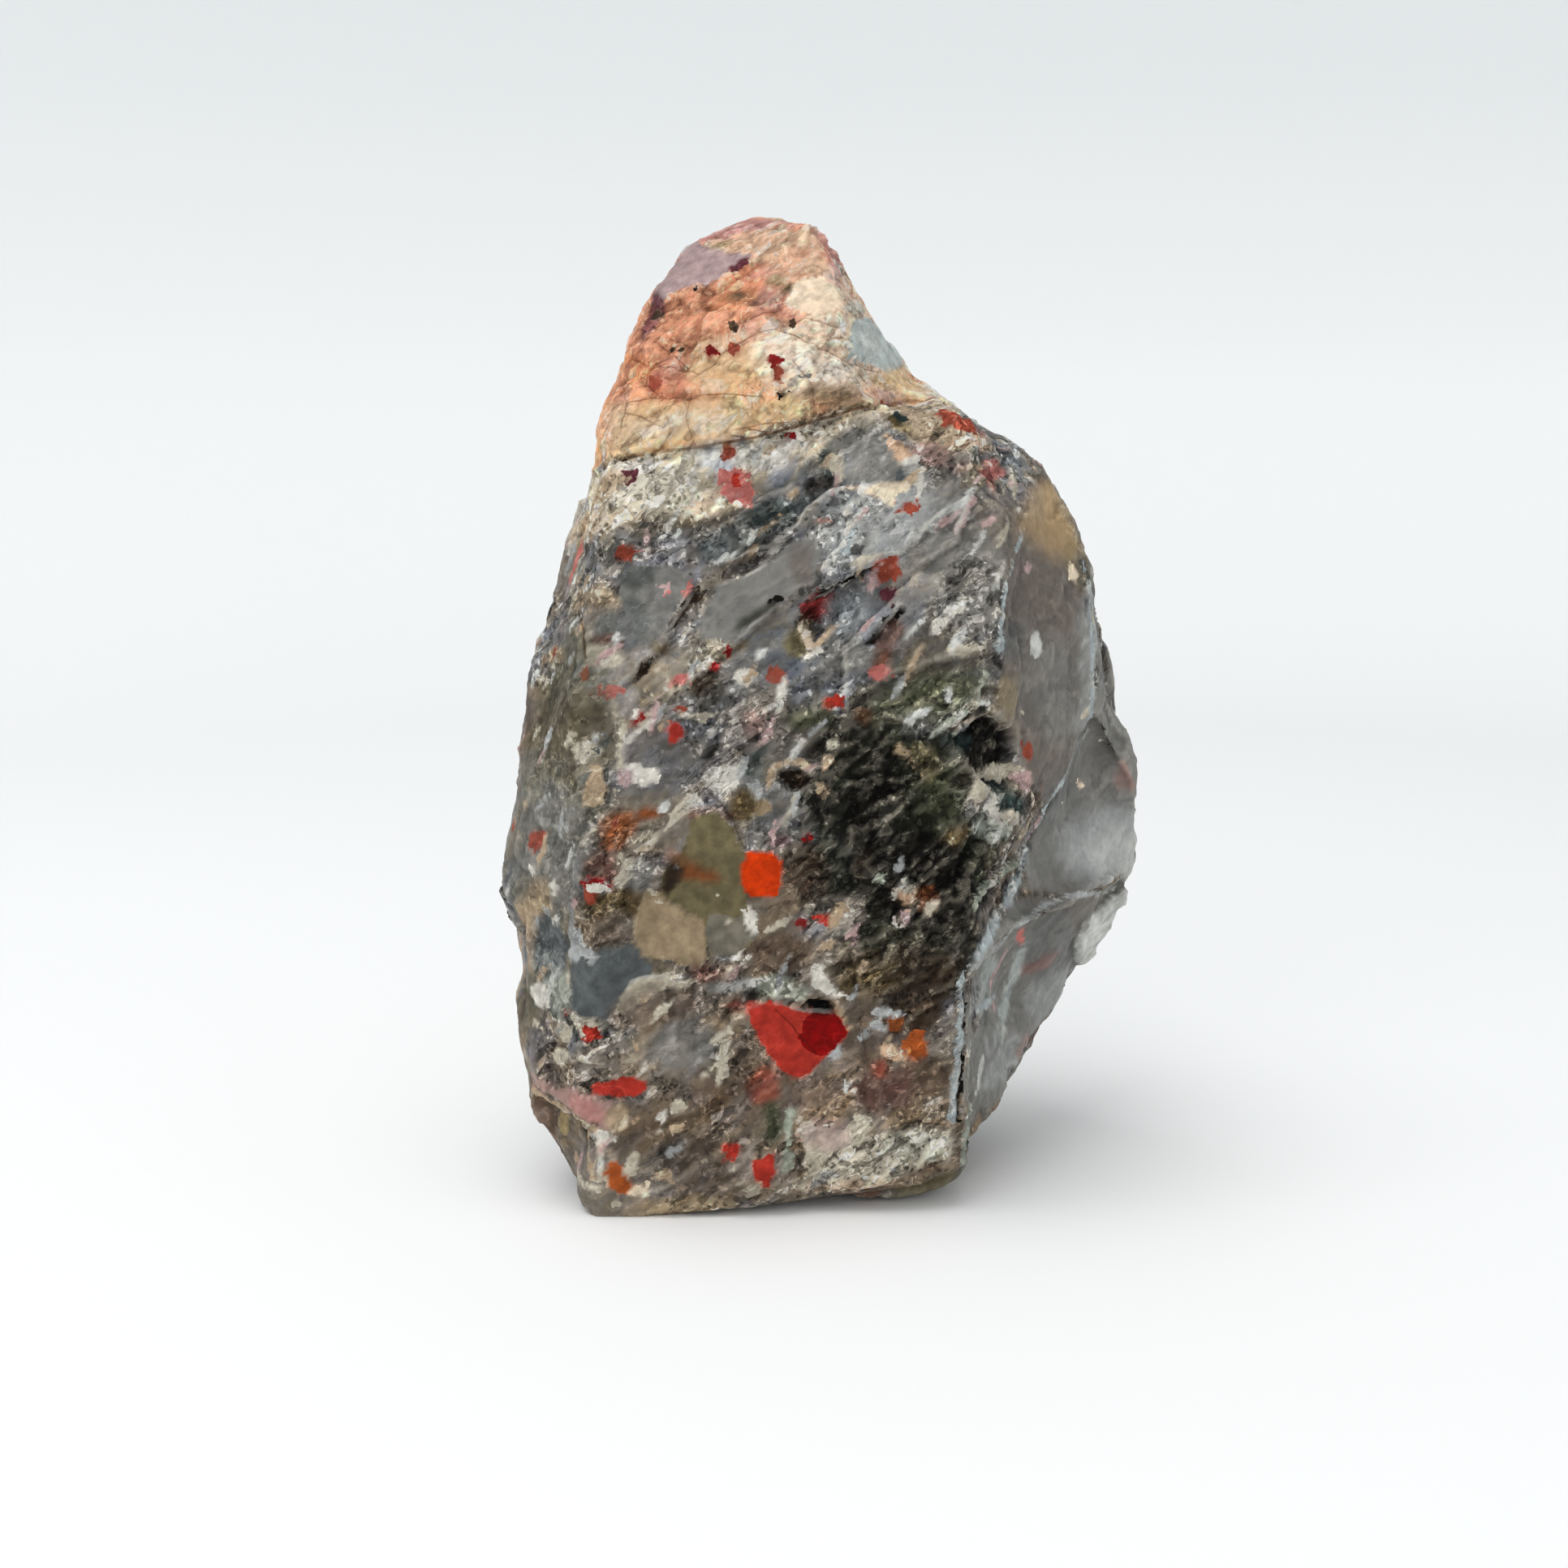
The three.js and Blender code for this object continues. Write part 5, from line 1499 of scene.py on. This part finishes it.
    def smoothed(self, points: Array, edges: Array, faces: Array) -> Array:
        """Melts the solid's small facets together and keeps its main edges.

        Args:
            points: The skin's points.
            edges: Its edges.
            faces: Its faces.

        Returns:
            The smoothed points.
        """
        surface = Surface(points, edges, faces)
        surface.points = surface.spread(points, 2)
        normals = surface.spread(surface.measured_normals(), 2)
        wide = surface.spread(normals, 8)
        wide /= np.linalg.norm(wide, axis=1, keepdims=True)
        normals /= np.linalg.norm(normals, axis=1, keepdims=True)
        bend = np.degrees(np.arccos(np.clip((normals * wide).sum(axis=1), -1, 1)))
        weight = surface.spread(1 - ease(bend, *self.kept_edges), 1)[:, None]
        for _ in range(self.melting):
            surface.points = surface.points + (surface.spread(surface.points, 1) - surface.points) * weight
        surface.points[points[:, 2] < self.foot_level, 2] = 0.0
        return surface.points

    def slanted(self, points: Array, long: float, deep: float) -> Array:
        """Points turned to run up the stone's slant and squeezed along it and in depth."""
        x, y, z = points.T
        return np.stack([(x * 0.80 + z * 0.60) * long, y * deep, -x * 0.60 + z * 0.80], axis=1)

    def faceted(self, places: Array, facet: tuple[float, float, float], seed: int,
                joint: float) -> tuple[Array, Array, Cells]:
        """Cracks space up into leaning pieces.

        Args:
            places: Where to read them, in millimetres.
            facet: The pieces' width, their tilt and their step in height.
            seed: Which pieces.
            joint: How wide the change from one piece to the next is.

        Returns:
            The height of each place, how far its piece stands over the next there, and the pieces.
        """
        size, tilt, step = facet
        piece = cells(places, size, seed)
        own = (piece.offset * piece.tilt).sum(axis=1) * tilt + (piece.key - 0.5) * step
        other = (piece.next_offset * piece.next_tilt).sum(axis=1) * tilt + (piece.next_key - 0.5) * step
        edge = 0.5 * (1 - ease(piece.gap, 0.0, joint))
        return own * (1 - edge) + other * edge, own - other, piece

    def mottle(self, paint: Paint, cap: Array) -> None:
        """Breaks the ground colours up into fragments and slanting streaks.

        Args:
            paint: The surface.
            cap: How much of each point is cap.
        """
        points = paint.skin.points
        warp = np.stack([cloud(points, 3, SEED + 60 + k) for k in range(3)], axis=1)
        slant = self.slanted(points, 0.45, 1.0)
        for size, seed, depth in self.mottles:
            piece = cells(slant + warp * 0.8, size, SEED + seed)
            light = (piece.key - 0.5) * 2
            depth_here = depth * (0.45 + 0.55 * (1 - cap))
            paint.tint *= np.exp(light * depth_here)[:, None]
            hue = (hashed(np.round(piece.tilt * 50), 5) - 0.5) * 0.22
            paint.tint[:, 0] *= np.exp(hue * 0.5)
            paint.tint[:, 2] *= np.exp(-hue)

    def relief(self, skin: Skin, paint: Paint, cap: Array) -> Array:
        """Works broken faces, pits and the marks' own heights into the skin, and paints light and shade onto
        the colour along the edges of the broken pieces.

        Args:
            skin: The smooth skin.
            paint: The surface's marks, with how calm and how high they are.
            cap: How much of each point is cap.

        Returns:
            The moved points in millimetres.
        """
        points = skin.points
        rough = 1 - (1 - self.calm_share) * np.clip(skin.spread(paint.calm, 2), 0, 1)
        height = np.zeros(len(points))
        warp = np.stack([cloud(points, 2.5, SEED + 80 + k) for k in range(3)], axis=1) * 0.5
        place = points * cap[:, None] + self.slanted(points, 0.42, 0.8) * (1 - cap[:, None])
        painted_edge_light_and_shade = np.zeros(len(points))
        for number, facet in enumerate(self.facets):
            rise, over, piece = self.faceted(place + warp, facet, SEED + 90 + number, self.facet_joint)
            share = rough if number else 0.3 + 0.7 * rough
            height += rise * share
            painted_edge_light_and_shade += np.exp(-piece.gap / 0.35) * np.clip(over / facet[2], -1.2, 1.2) * share
        # painted light and shade: lighter where a piece stands over the next, darker where it sits under it
        paint.tint *= np.exp(painted_edge_light_and_shade * self.edge_light_and_shade_depth)[:, None]
        paint.ledge[:] = (cloud(place + warp, self.ledge_width, SEED + 95, 3) + 3) * self.ledge_count
        part = paint.ledge - np.floor(paint.ledge)
        height += (ease(part, self.ledge_edge, 1.0) - part) * self.ledge_height * rough * (1 - 0.4 * cap)
        height -= ease(cloud(points, 1.5, SEED + 96, 2), 0.35, 0.8) * self.pit_depth * rough
        height += cloud(points, 0.8, SEED + 97, 2) * self.grain_height * rough
        hidden = 1 - ease(skin.spread(skin.seen, 50), 0.0, 0.10)
        rise = self.faceted(points + warp * 3, self.broad_facet, SEED + 89, self.broad_joint)[0]
        height += (rise - 0.3) * hidden
        height += paint.lift
        height = np.clip(height, self.deepest, self.highest)
        foot = ease(points[:, 2], self.foot_level, 1.2)
        moved = points + skin.normals * (height * foot)[:, None]
        moved[:, 2] = np.maximum(moved[:, 2], 0.0)
        return moved

    def pale_edges_and_hollow_shade(self, skin: Skin, paint: Paint, moved: Array) -> None:
        """Pales broken edges like crushed stone, and paints shade into the hollows by darkening their colour.

        Args:
            skin: The smooth skin.
            paint: The surface's colours.
            moved: The points after the relief.
        """
        bulge = np.zeros(len(moved))
        for rounds, weight in ((2, 1.0), (8, 0.7)):
            bulge += ((moved - skin.spread(moved, rounds)) * skin.normals).sum(axis=1) * weight
        # convex places are lightened and concave ones darkened: the darkening is painted shade in the hollows
        light = np.clip(bulge * 1.6, -0.5, 0.4)
        paint.tint *= np.exp(light)[:, None]
        pale = np.clip(bulge * 0.9, 0, 0.2)[:, None]
        paint.tint[:] = paint.tint * (1 - pale) + Tint.BONE.linear() * pale

    def store(self, mesh: bpy.types.Mesh, paint: Paint) -> None:
        """Writes the colours and the finish onto the mesh's points.

        Args:
            mesh: The stone's mesh.
            paint: What was painted.
        """
        whole = np.ones(len(paint.tint))
        for name, alpha in (("tint", whole), ("chip_tint", paint.chip_fray), ("top_tint", paint.top_fray)):
            colour = getattr(paint, name)
            layer = mesh.attributes.new(name, "FLOAT_COLOR", "POINT")
            full = np.ones((len(colour), 4), dtype=np.float32)
            full[:, :3] = np.clip(colour, 0.002, 0.95)
            full[:, 3] = alpha
            layer.data.foreach_set("color", full.ravel())
        for name in ("chip", "top", "calm", "line", "line_gap", "line_dark", "ledge"):
            layer = mesh.attributes.new(name, "FLOAT", "POINT")
            layer.data.foreach_set("value", getattr(paint, name).astype(np.float32))
        mesh.polygons.foreach_set("use_smooth", np.ones(len(mesh.polygons), dtype=bool))


@dataclass(frozen=True)
class StoneFinish:
    """Broken jasper: dull where it is rough, with a soft sheen where it is smooth.

    Each grain is a width in millimetres, how much its pieces differ in tone, and how steeply they lean. Each
    flake is a width, how many ledges share it, their height, how much they differ in tone, and how pale their
    crests are; the wide ledge has the last three. Slivers and specks are a width, the share that isn't pale,
    and the share of dark ones. Noise is given as its scale and its detail.
    """

    brightness: float = 0.86
    rough: float = 0.70
    smooth: float = 0.38
    grains: tuple[tuple[float, float, float], ...] = ((1.5, 0.10, 0.15), (0.55, 0.15, 0.0))
    flakes: tuple[tuple[float, float, float, float, float], ...] = (
        (2.6, 11.0, 0.11, 0.16, 0.8), (1.0, 8.0, 0.05, 0.12, 0.7))
    wide_ledge: tuple[float, float, float] = (0.10, 0.10, 0.9)
    ledge_edge: float = 0.62
    sliver: tuple[float, float, float] = (0.70, 0.91, 0.13)
    speck: tuple[float, float, float] = (0.30, 0.92, 0.12)
    stray_noise: tuple[float, float] = (900, 0.5)
    fray_noise: tuple[float, float] = (1500, 3)
    cloud_noise: tuple[float, float] = (1000, 4)
    grain_noise: tuple[float, float] = (2400, 2)
    ledge_noise: tuple[float, float] = (1500, 2)
    stray_reach: float = 0.0006
    slant: float = -38
    stretch: tuple[float, float, float] = (2.2, 1.3, 1.0)
    paler: tuple[float, float, float] = (2.6, 2.6, 2.6)
    crack_share: tuple[float, float, float] = (0.26, 0.15, 0.10)
    crack_stain: tuple[float, float, float] = (0.012, 0.006, 0.003)
    rim_colour: tuple[float, float, float, float] = (0.60, 0.57, 0.51, 1)
    reflection: float = 0.06

    def build(self) -> bpy.types.Material:
        """Makes the stone's material."""
        material = bpy.data.materials.new("broken jasper")
        material.use_nodes = True
        tree = material.node_tree
        shader = tree.nodes["Principled BSDF"]
        wires = Wires(tree)
        place = wires.add("ShaderNodeTexCoord").outputs["Object"]
        calm = wires.attribute("calm", "Fac")
        grit = wires.fit(calm, 0.0, 0.95, 1.0, 0.07)
        stray = wires.noise(place, self.stray_noise)
        bent = wires.vector("MULTIPLY_ADD", wires.vector("SUBTRACT", stray.outputs["Color"], (0.5, 0.5, 0.5)),
                            (self.stray_reach,) * 3, place)
        slanted = wires.add("ShaderNodeMapping")
        slanted.vector_type = "TEXTURE"
        slanted.inputs["Rotation"].default_value = (0.0, math.radians(self.slant), 0.0)
        slanted.inputs["Scale"].default_value = self.stretch
        wires.join(bent, slanted.inputs["Vector"])
        tone, height = self.broken(wires, slanted.outputs["Vector"], grit)
        colour = self.flecks(wires, wires.attribute("tint", "Color"), bent, slanted.outputs["Vector"], grit)
        fray = wires.sum("SUBTRACT", wires.noise(place, self.fray_noise).outputs["Fac"], 0.5)
        fray = wires.sum("MULTIPLY", fray, 2.6)
        cloudy = wires.fit(wires.noise(place, self.cloud_noise).outputs["Fac"], 0.35, 0.65, 0.72, 1.16)
        for layer in ("chip", "top"):
            uneven = wires.sum("MULTIPLY", fray, wires.attribute(f"{layer}_tint", "Alpha"))
            edge = wires.fit(wires.sum("ADD", wires.attribute(layer, "Fac"), uneven), -0.05, 0.05)
            own = wires.scaled(wires.attribute(f"{layer}_tint", "Color"), cloudy)
            colour = wires.blend(edge, colour, own)
        colour, step = self.ledges(wires, colour, bent, slanted.outputs["Vector"], grit)
        height = wires.sum("ADD", height, step)
        colour = wires.scaled(colour, tone)
        shade = self.hairlines(wires)
        browned = wires.vector("MULTIPLY_ADD", colour, self.crack_share, self.crack_stain)
        colour = wires.blend(shade, colour, browned)
        colour = wires.blend(wires.sum("MULTIPLY", shade, -1.0), colour, self.rim_colour)
        wires.join(wires.scaled(colour, self.brightness), shader.inputs["Base Color"])
        sheen = wires.fit(calm, 0.0, 1.0, self.rough, self.smooth)
        uneven = wires.fit(stray.outputs["Fac"], 0.3, 0.7, -0.06, 0.08)
        wires.join(wires.sum("ADD", sheen, uneven), shader.inputs["Roughness"])
        bump = wires.add("ShaderNodeBump")
        bump.inputs["Strength"].default_value = 1.0
        bump.inputs["Distance"].default_value = 1.0
        wires.join(height, bump.inputs["Height"])
        wires.join(bump.outputs["Normal"], shader.inputs["Normal"])
        shader.inputs["Specular IOR Level"].default_value = self.reflection
        return material

    def broken(self, wires: Wires, bent: bpy.types.NodeSocket,
               grit: bpy.types.NodeSocket) -> tuple[bpy.types.NodeSocket, bpy.types.NodeSocket]:
        """Breaks the surface into small leaning faces, each a little lighter or darker than the next.

        Args:
            wires: The material's nodes.
            bent: The uneven coordinates.
            grit: How rough the place is.

        Returns:
            How light each place is, and its height in metres.
        """
        tone: object = 1.0
        height: object = 0.0
        for width, depth, lean in self.grains:
            piece = wires.cells(bent, 1 / (width * MM))
            own = wires.split(piece.outputs["Color"])
            change = wires.sum("MULTIPLY", wires.fit(own[0], 0.0, 1.0, -depth, depth), grit)
            tone = wires.sum("MULTIPLY", tone, wires.sum("EXPONENT", change, 0.0))
            if lean:
                slope = wires.vector("SUBTRACT", piece.outputs["Color"], (0.5, 0.5, 0.5))
                offset = wires.vector("SUBTRACT", bent, piece.outputs["Position"])
                rise = wires.sum("MULTIPLY", wires.vector("DOT_PRODUCT", offset, slope, output="Value"), lean)
                height = wires.sum("ADD", height, rise)
        grain = wires.noise(bent, self.grain_noise).outputs["Fac"]
        height = wires.sum("ADD", height, wires.sum("MULTIPLY", grain, 0.00012))
        soft = wires.fit(grit, 0.0, 1.0, 0.25, 1.0)
        change = wires.fit(grain, 0.3, 0.7, -0.20, 0.18)
        tone = wires.sum("MULTIPLY", tone, wires.sum("MULTIPLY_ADD", change, soft))
        return tone, wires.sum("MULTIPLY", height, grit)

    def ledges(self, wires: Wires, colour: bpy.types.NodeSocket, bent: bpy.types.NodeSocket,
               slanted: bpy.types.NodeSocket,
               grit: bpy.types.NodeSocket) -> tuple[bpy.types.NodeSocket, bpy.types.NodeSocket]:
        """Flakes the surface into low ragged ledges whose pale crests are partly crushed stone and partly a
        painted highlight, with painted shadow at their feet.

        Args:
            wires: The material's nodes.
            colour: The colour so far.
            bent: The uneven coordinates.
            slanted: The same, drawn out along the stone's slant.
            grit: How rough the place is.

        Returns:
            The colour with the ledges in it, and their height in metres.
        """
        total: object = 0.0
        fine = wires.sum("MULTIPLY", wires.noise(bent, self.ledge_noise).outputs["Fac"], 0.9)
        levels = [(wires.sum("ADD", wires.attribute("ledge", "Fac"), fine), *self.wide_ledge)]
        for width, count, rise, depth, pale in self.flakes:
            pattern = wires.noise(slanted, (1 / (width * MM), 4)).outputs["Fac"]
            levels.append((wires.sum("MULTIPLY", pattern, count), rise, depth, pale))
        for number, (level, rise, depth, pale) in enumerate(levels):
            part = wires.sum("FRACT", level, 0.0)
            own = wires.add("ShaderNodeTexWhiteNoise")
            own.noise_dimensions = "1D"
            wires.join(wires.sum("ADD", wires.sum("FLOOR", level, 0.0), 0.37 + number), own.inputs["W"])
            change = wires.sum("MULTIPLY", wires.fit(own.outputs["Value"], 0.0, 1.0, -depth, depth), grit)
            colour = wires.scaled(colour, wires.sum("EXPONENT", change, 0.0))
            shown = wires.fit(wires.noise(bent, (240 + 90 * number, 1)).outputs["Fac"], 0.54, 0.62)
            shown = wires.sum("MULTIPLY", shown, grit)
            away = wires.sum("ABSOLUTE", wires.sum("SUBTRACT", part, self.ledge_edge), 0.0)
            # painted shadow darkens the foot of each ledge
            foot = wires.sum("MULTIPLY", wires.fit(away, 0.02, 0.10, 0.55, 0.0), shown)
            colour = wires.scaled(colour, wires.sum("SUBTRACT", 1.0, foot))
            # pale crest: partly crushed stone, partly a painted highlight
            crest = wires.sum("MULTIPLY", wires.fit(part, 0.07, 0.13, pale, 0.0), shown)
            paler = wires.vector("MULTIPLY_ADD", colour, self.paler, (0.018, 0.017, 0.014))
            colour = wires.blend(crest, colour, wires.vector("MINIMUM", paler, (0.90, 0.87, 0.82)))
            climb = wires.sum("SUBTRACT", wires.fit(part, self.ledge_edge, 1.0), part)
            total = wires.sum("ADD", total, wires.sum("MULTIPLY", climb, rise * MM))
        return colour, wires.sum("MULTIPLY", total, grit)

    def flecks(self, wires: Wires, colour: bpy.types.NodeSocket, bent: bpy.types.NodeSocket,
               slanted: bpy.types.NodeSocket, grit: bpy.types.NodeSocket) -> bpy.types.NodeSocket:
        """Adds slivers and specks that are too fine for the mesh.

        Args:
            wires: The material's nodes.
            colour: The ground colour.
            bent: The uneven coordinates.
            slanted: The same, drawn out along the stone's slant.
            grit: How rough the place is.

        Returns:
            The colour with the slivers in it.
        """
        bright = wires.fit(grit, 0.2, 0.9, 0.02, 0.80)
        dim = wires.fit(grit, 0.2, 0.9, 0.05, 0.85)
        for source, (width, light, dark) in ((slanted, self.sliver), (bent, self.speck)):
            own = wires.split(wires.cells(source, 1 / (width * MM)).outputs["Color"])
            paler = wires.vector("MULTIPLY_ADD", colour, self.paler, (0.020, 0.019, 0.016))
            paler = wires.vector("MINIMUM", paler, (0.86, 0.83, 0.77))
            share = wires.sum("MULTIPLY", wires.sum("GREATER_THAN", own[0], light), bright)
            colour = wires.blend(share, colour, paler)
            share = wires.sum("MULTIPLY", wires.sum("LESS_THAN", own[1], dark), dim)
            colour = wires.blend(share, colour, wires.scaled(colour, 0.34))
        return colour

    def hairlines(self, wires: Wires) -> bpy.types.NodeSocket:
        """How dark the nearest hairline makes each place."""
        across = wires.sum("ABSOLUTE", wires.attribute("line", "Fac"), 0.0)
        near = wires.fit(wires.attribute("line_gap", "Fac"), 0.25, 0.4, 1.0, 0.0)
        thin = wires.sum("MULTIPLY", wires.fit(across, 0.5, 1.1, 1.0, 0.0), near)
        return wires.sum("MULTIPLY", thin, wires.attribute("line_dark", "Fac"))


@dataclass
class Wires:
    """Short ways to add and join a material's nodes."""

    tree: bpy.types.NodeTree

    def add(self, kind: str) -> bpy.types.Node:
        """A new node of a kind."""
        return self.tree.nodes.new(kind)

    def join(self, source: object, socket: bpy.types.NodeSocket) -> None:
        """Links a socket to a source, or sets it where the source is a plain value."""
        if isinstance(source, bpy.types.NodeSocket):
            self.tree.links.new(source, socket)
        else:
            socket.default_value = source

    def attribute(self, name: str, output: str) -> bpy.types.NodeSocket:
        """A value that is stored on the mesh."""
        node = self.add("ShaderNodeAttribute")
        node.attribute_name = name
        return node.outputs[output]

    def noise(self, place: bpy.types.NodeSocket, kind: tuple[float, float]) -> bpy.types.Node:
        """A noise pattern with a scale and a detail."""
        node = self.add("ShaderNodeTexNoise")
        self.join(place, node.inputs["Vector"])
        node.inputs["Scale"].default_value, node.inputs["Detail"].default_value = kind
        return node

    def cells(self, place: bpy.types.NodeSocket, scale: float) -> bpy.types.Node:
        """A pattern of angular cells, each with a colour of its own."""
        node = self.add("ShaderNodeTexVoronoi")
        self.join(place, node.inputs["Vector"])
        node.inputs["Scale"].default_value = scale
        return node

    def split(self, colour: bpy.types.NodeSocket) -> list[bpy.types.NodeSocket]:
        """A colour's three parts."""
        node = self.add("ShaderNodeSeparateColor")
        self.join(colour, node.inputs["Color"])
        return list(node.outputs)

    def sum(self, operation: str, first: object, second: object) -> bpy.types.NodeSocket:
        """Arithmetic on two values, with 1 as the third where there is one."""
        node = self.add("ShaderNodeMath")
        node.operation = operation
        self.join(first, node.inputs[0])
        self.join(second, node.inputs[1])
        node.inputs[2].default_value = 1.0
        return node.outputs[0]

    def vector(self, operation: str, *parts: object, output: str = "Vector") -> bpy.types.NodeSocket:
        """Arithmetic on vectors."""
        node = self.add("ShaderNodeVectorMath")
        node.operation = operation
        for part, socket in zip(parts, node.inputs):
            self.join(part, socket)
        return node.outputs[output]

    def fit(self, value: object, low: float, high: float, start: float = 0.0,
            end: float = 1.0) -> bpy.types.NodeSocket:
        """A value carried from one range to another and held inside it."""
        node = self.add("ShaderNodeMapRange")
        for part, socket in zip((value, low, high, start, end), node.inputs):
            self.join(part, socket)
        return node.outputs[0]

    def blend(self, share: object, first: object, second: object) -> bpy.types.NodeSocket:
        """Two colours mixed, with a share of the second."""
        node = self.add("ShaderNodeMix")
        node.data_type = "RGBA"
        self.join(share, node.inputs[0])
        self.join(first, node.inputs[6])
        self.join(second, node.inputs[7])
        return node.outputs[2]

    def scaled(self, colour: bpy.types.NodeSocket, level: object) -> bpy.types.NodeSocket:
        """A colour made lighter or darker."""
        node = self.add("ShaderNodeVectorMath")
        node.operation = "SCALE"
        self.join(colour, node.inputs[0])
        self.join(level, node.inputs[3])
        return node.outputs[0]


@dataclass
class Studio:
    """A pale floor that curves up into a wall, soft light from above and in front, and the camera."""

    flat_radius: float = 0.255
    wall_radius: float = 0.60
    wall_height: float = 0.31
    rise: float = 0.10
    wall_slope: float = 70
    curve_steps: int = 8
    turns: int = 96
    floor_colour: tuple[float, float, float, float] = (0.965, 0.962, 0.955, 1)
    # painted shade: the wall is greyer than the floor, so the backdrop darkens upwards
    shaded_wall_colour: tuple[float, float, float, float] = (0.83, 0.845, 0.845, 1)
    sky_colour: tuple[float, float, float, float] = (0.93, 0.97, 1.0, 1)
    sky_strength: float = 0.50
    aim: tuple[float, float, float] = (0, 0, 0.04)
    photo: Photo = field(default_factory=Photo)

    def floor(self) -> None:
        """Makes the floor and wall as one turned surface."""
        shape = bmesh.new()
        outline = [(0.0, 0.0), (self.flat_radius, 0.0)]
        for step in range(1, self.curve_steps + 1):
            angle = step / self.curve_steps * math.radians(self.wall_slope)
            outline.append((self.flat_radius + self.rise * math.sin(angle),
                            self.rise * (1 - math.cos(angle))))
        outline.append((self.wall_radius, self.wall_height))
        verts = [shape.verts.new((radius, 0.0, height)) for radius, height in outline]
        edges = [shape.edges.new(pair) for pair in zip(verts, verts[1:])]
        bmesh.ops.spin(shape, geom=verts + edges, cent=(0, 0, 0), axis=(0, 0, 1), angle=math.tau,
                       steps=self.turns, use_merge=True)
        bmesh.ops.remove_doubles(shape, verts=shape.verts, dist=1e-6)
        bmesh.ops.recalc_face_normals(shape, faces=shape.faces)
        mesh = bpy.data.meshes.new("floor")
        shape.to_mesh(mesh)
        shape.free()
        mesh.polygons.foreach_set("use_smooth", np.ones(len(mesh.polygons), dtype=bool))
        material = bpy.data.materials.new("pale floor")
        material.use_nodes = True
        shader = material.node_tree.nodes["Principled BSDF"]
        wires = Wires(material.node_tree)
        height = wires.add("ShaderNodeSeparateXYZ")
        wires.join(wires.add("ShaderNodeTexCoord").outputs["Object"], height.inputs[0])
        up = wires.fit(height.outputs["Z"], 0.0, 0.12)
        # painted shade: the surface greys as it rises from the floor into the wall
        wires.join(wires.blend(up, self.floor_colour, self.shaded_wall_colour), shader.inputs["Base Color"])
        shader.inputs["Roughness"].default_value = 0.85
        mesh.materials.append(material)
        floor = bpy.data.objects.new("floor", mesh)
        bpy.context.scene.collection.objects.link(floor)

    def lamp(self, name: str, place: tuple[float, float, float], size: float, power: float) -> None:
        """A soft square light that points at the stone.

        Args:
            name: The light's name.
            place: Where it stands, in metres.
            size: Its side in metres.
            power: Its strength in watts.
        """
        light = bpy.data.lights.new(name, "AREA")
        light.size = size
        light.energy = power
        lamp = bpy.data.objects.new(name, light)
        lamp.location = place
        lamp.rotation_euler = (Vector(self.aim) - Vector(place)).to_track_quat("-Z", "Y").to_euler()
        bpy.context.scene.collection.objects.link(lamp)

    def build(self) -> None:
        """Puts up the floor, the lights and the camera."""
        self.floor()
        self.lamp("top light", (-0.12, -0.12, 0.62), 0.5, 2.2)
        self.lamp("front light", (-0.20, -0.50, 0.30), 0.4, 0.7)
        world = bpy.data.worlds.new("soft room")
        world.use_nodes = True
        sky = world.node_tree.nodes["Background"]
        sky.inputs["Color"].default_value = self.sky_colour
        sky.inputs["Strength"].default_value = self.sky_strength
        bpy.context.scene.world = world
        bpy.context.scene.view_settings.view_transform = "Standard"
        camera_data = bpy.data.cameras.new("camera")
        camera_data.lens = self.photo.lens
        camera_data.sensor_width = self.photo.sensor
        camera = bpy.data.objects.new("camera", camera_data)
        camera.location = self.photo.place
        camera.rotation_euler = (math.radians(90 - self.photo.pitch), 0, 0)
        bpy.context.scene.collection.objects.link(camera)
        bpy.context.scene.camera = camera


def main() -> None:
    """Builds the stone and its studio."""
    logging.basicConfig(level=logging.INFO, format="%(name)s: %(message)s")
    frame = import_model()
    stone = StoneBody().build(bpy.data.objects["bloodstone"])
    stone.data.materials.append(StoneFinish().build())
    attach(stone, "root")
    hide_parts("bloodstone")
    log.info("stone: %d points, %d faces, for %d node",
             len(stone.data.vertices), len(stone.data.polygons), len(frame["nodes"]))
    Studio().build()
    log.info("floor, lights and camera are in place")


if __name__ == "__main__":
    main()
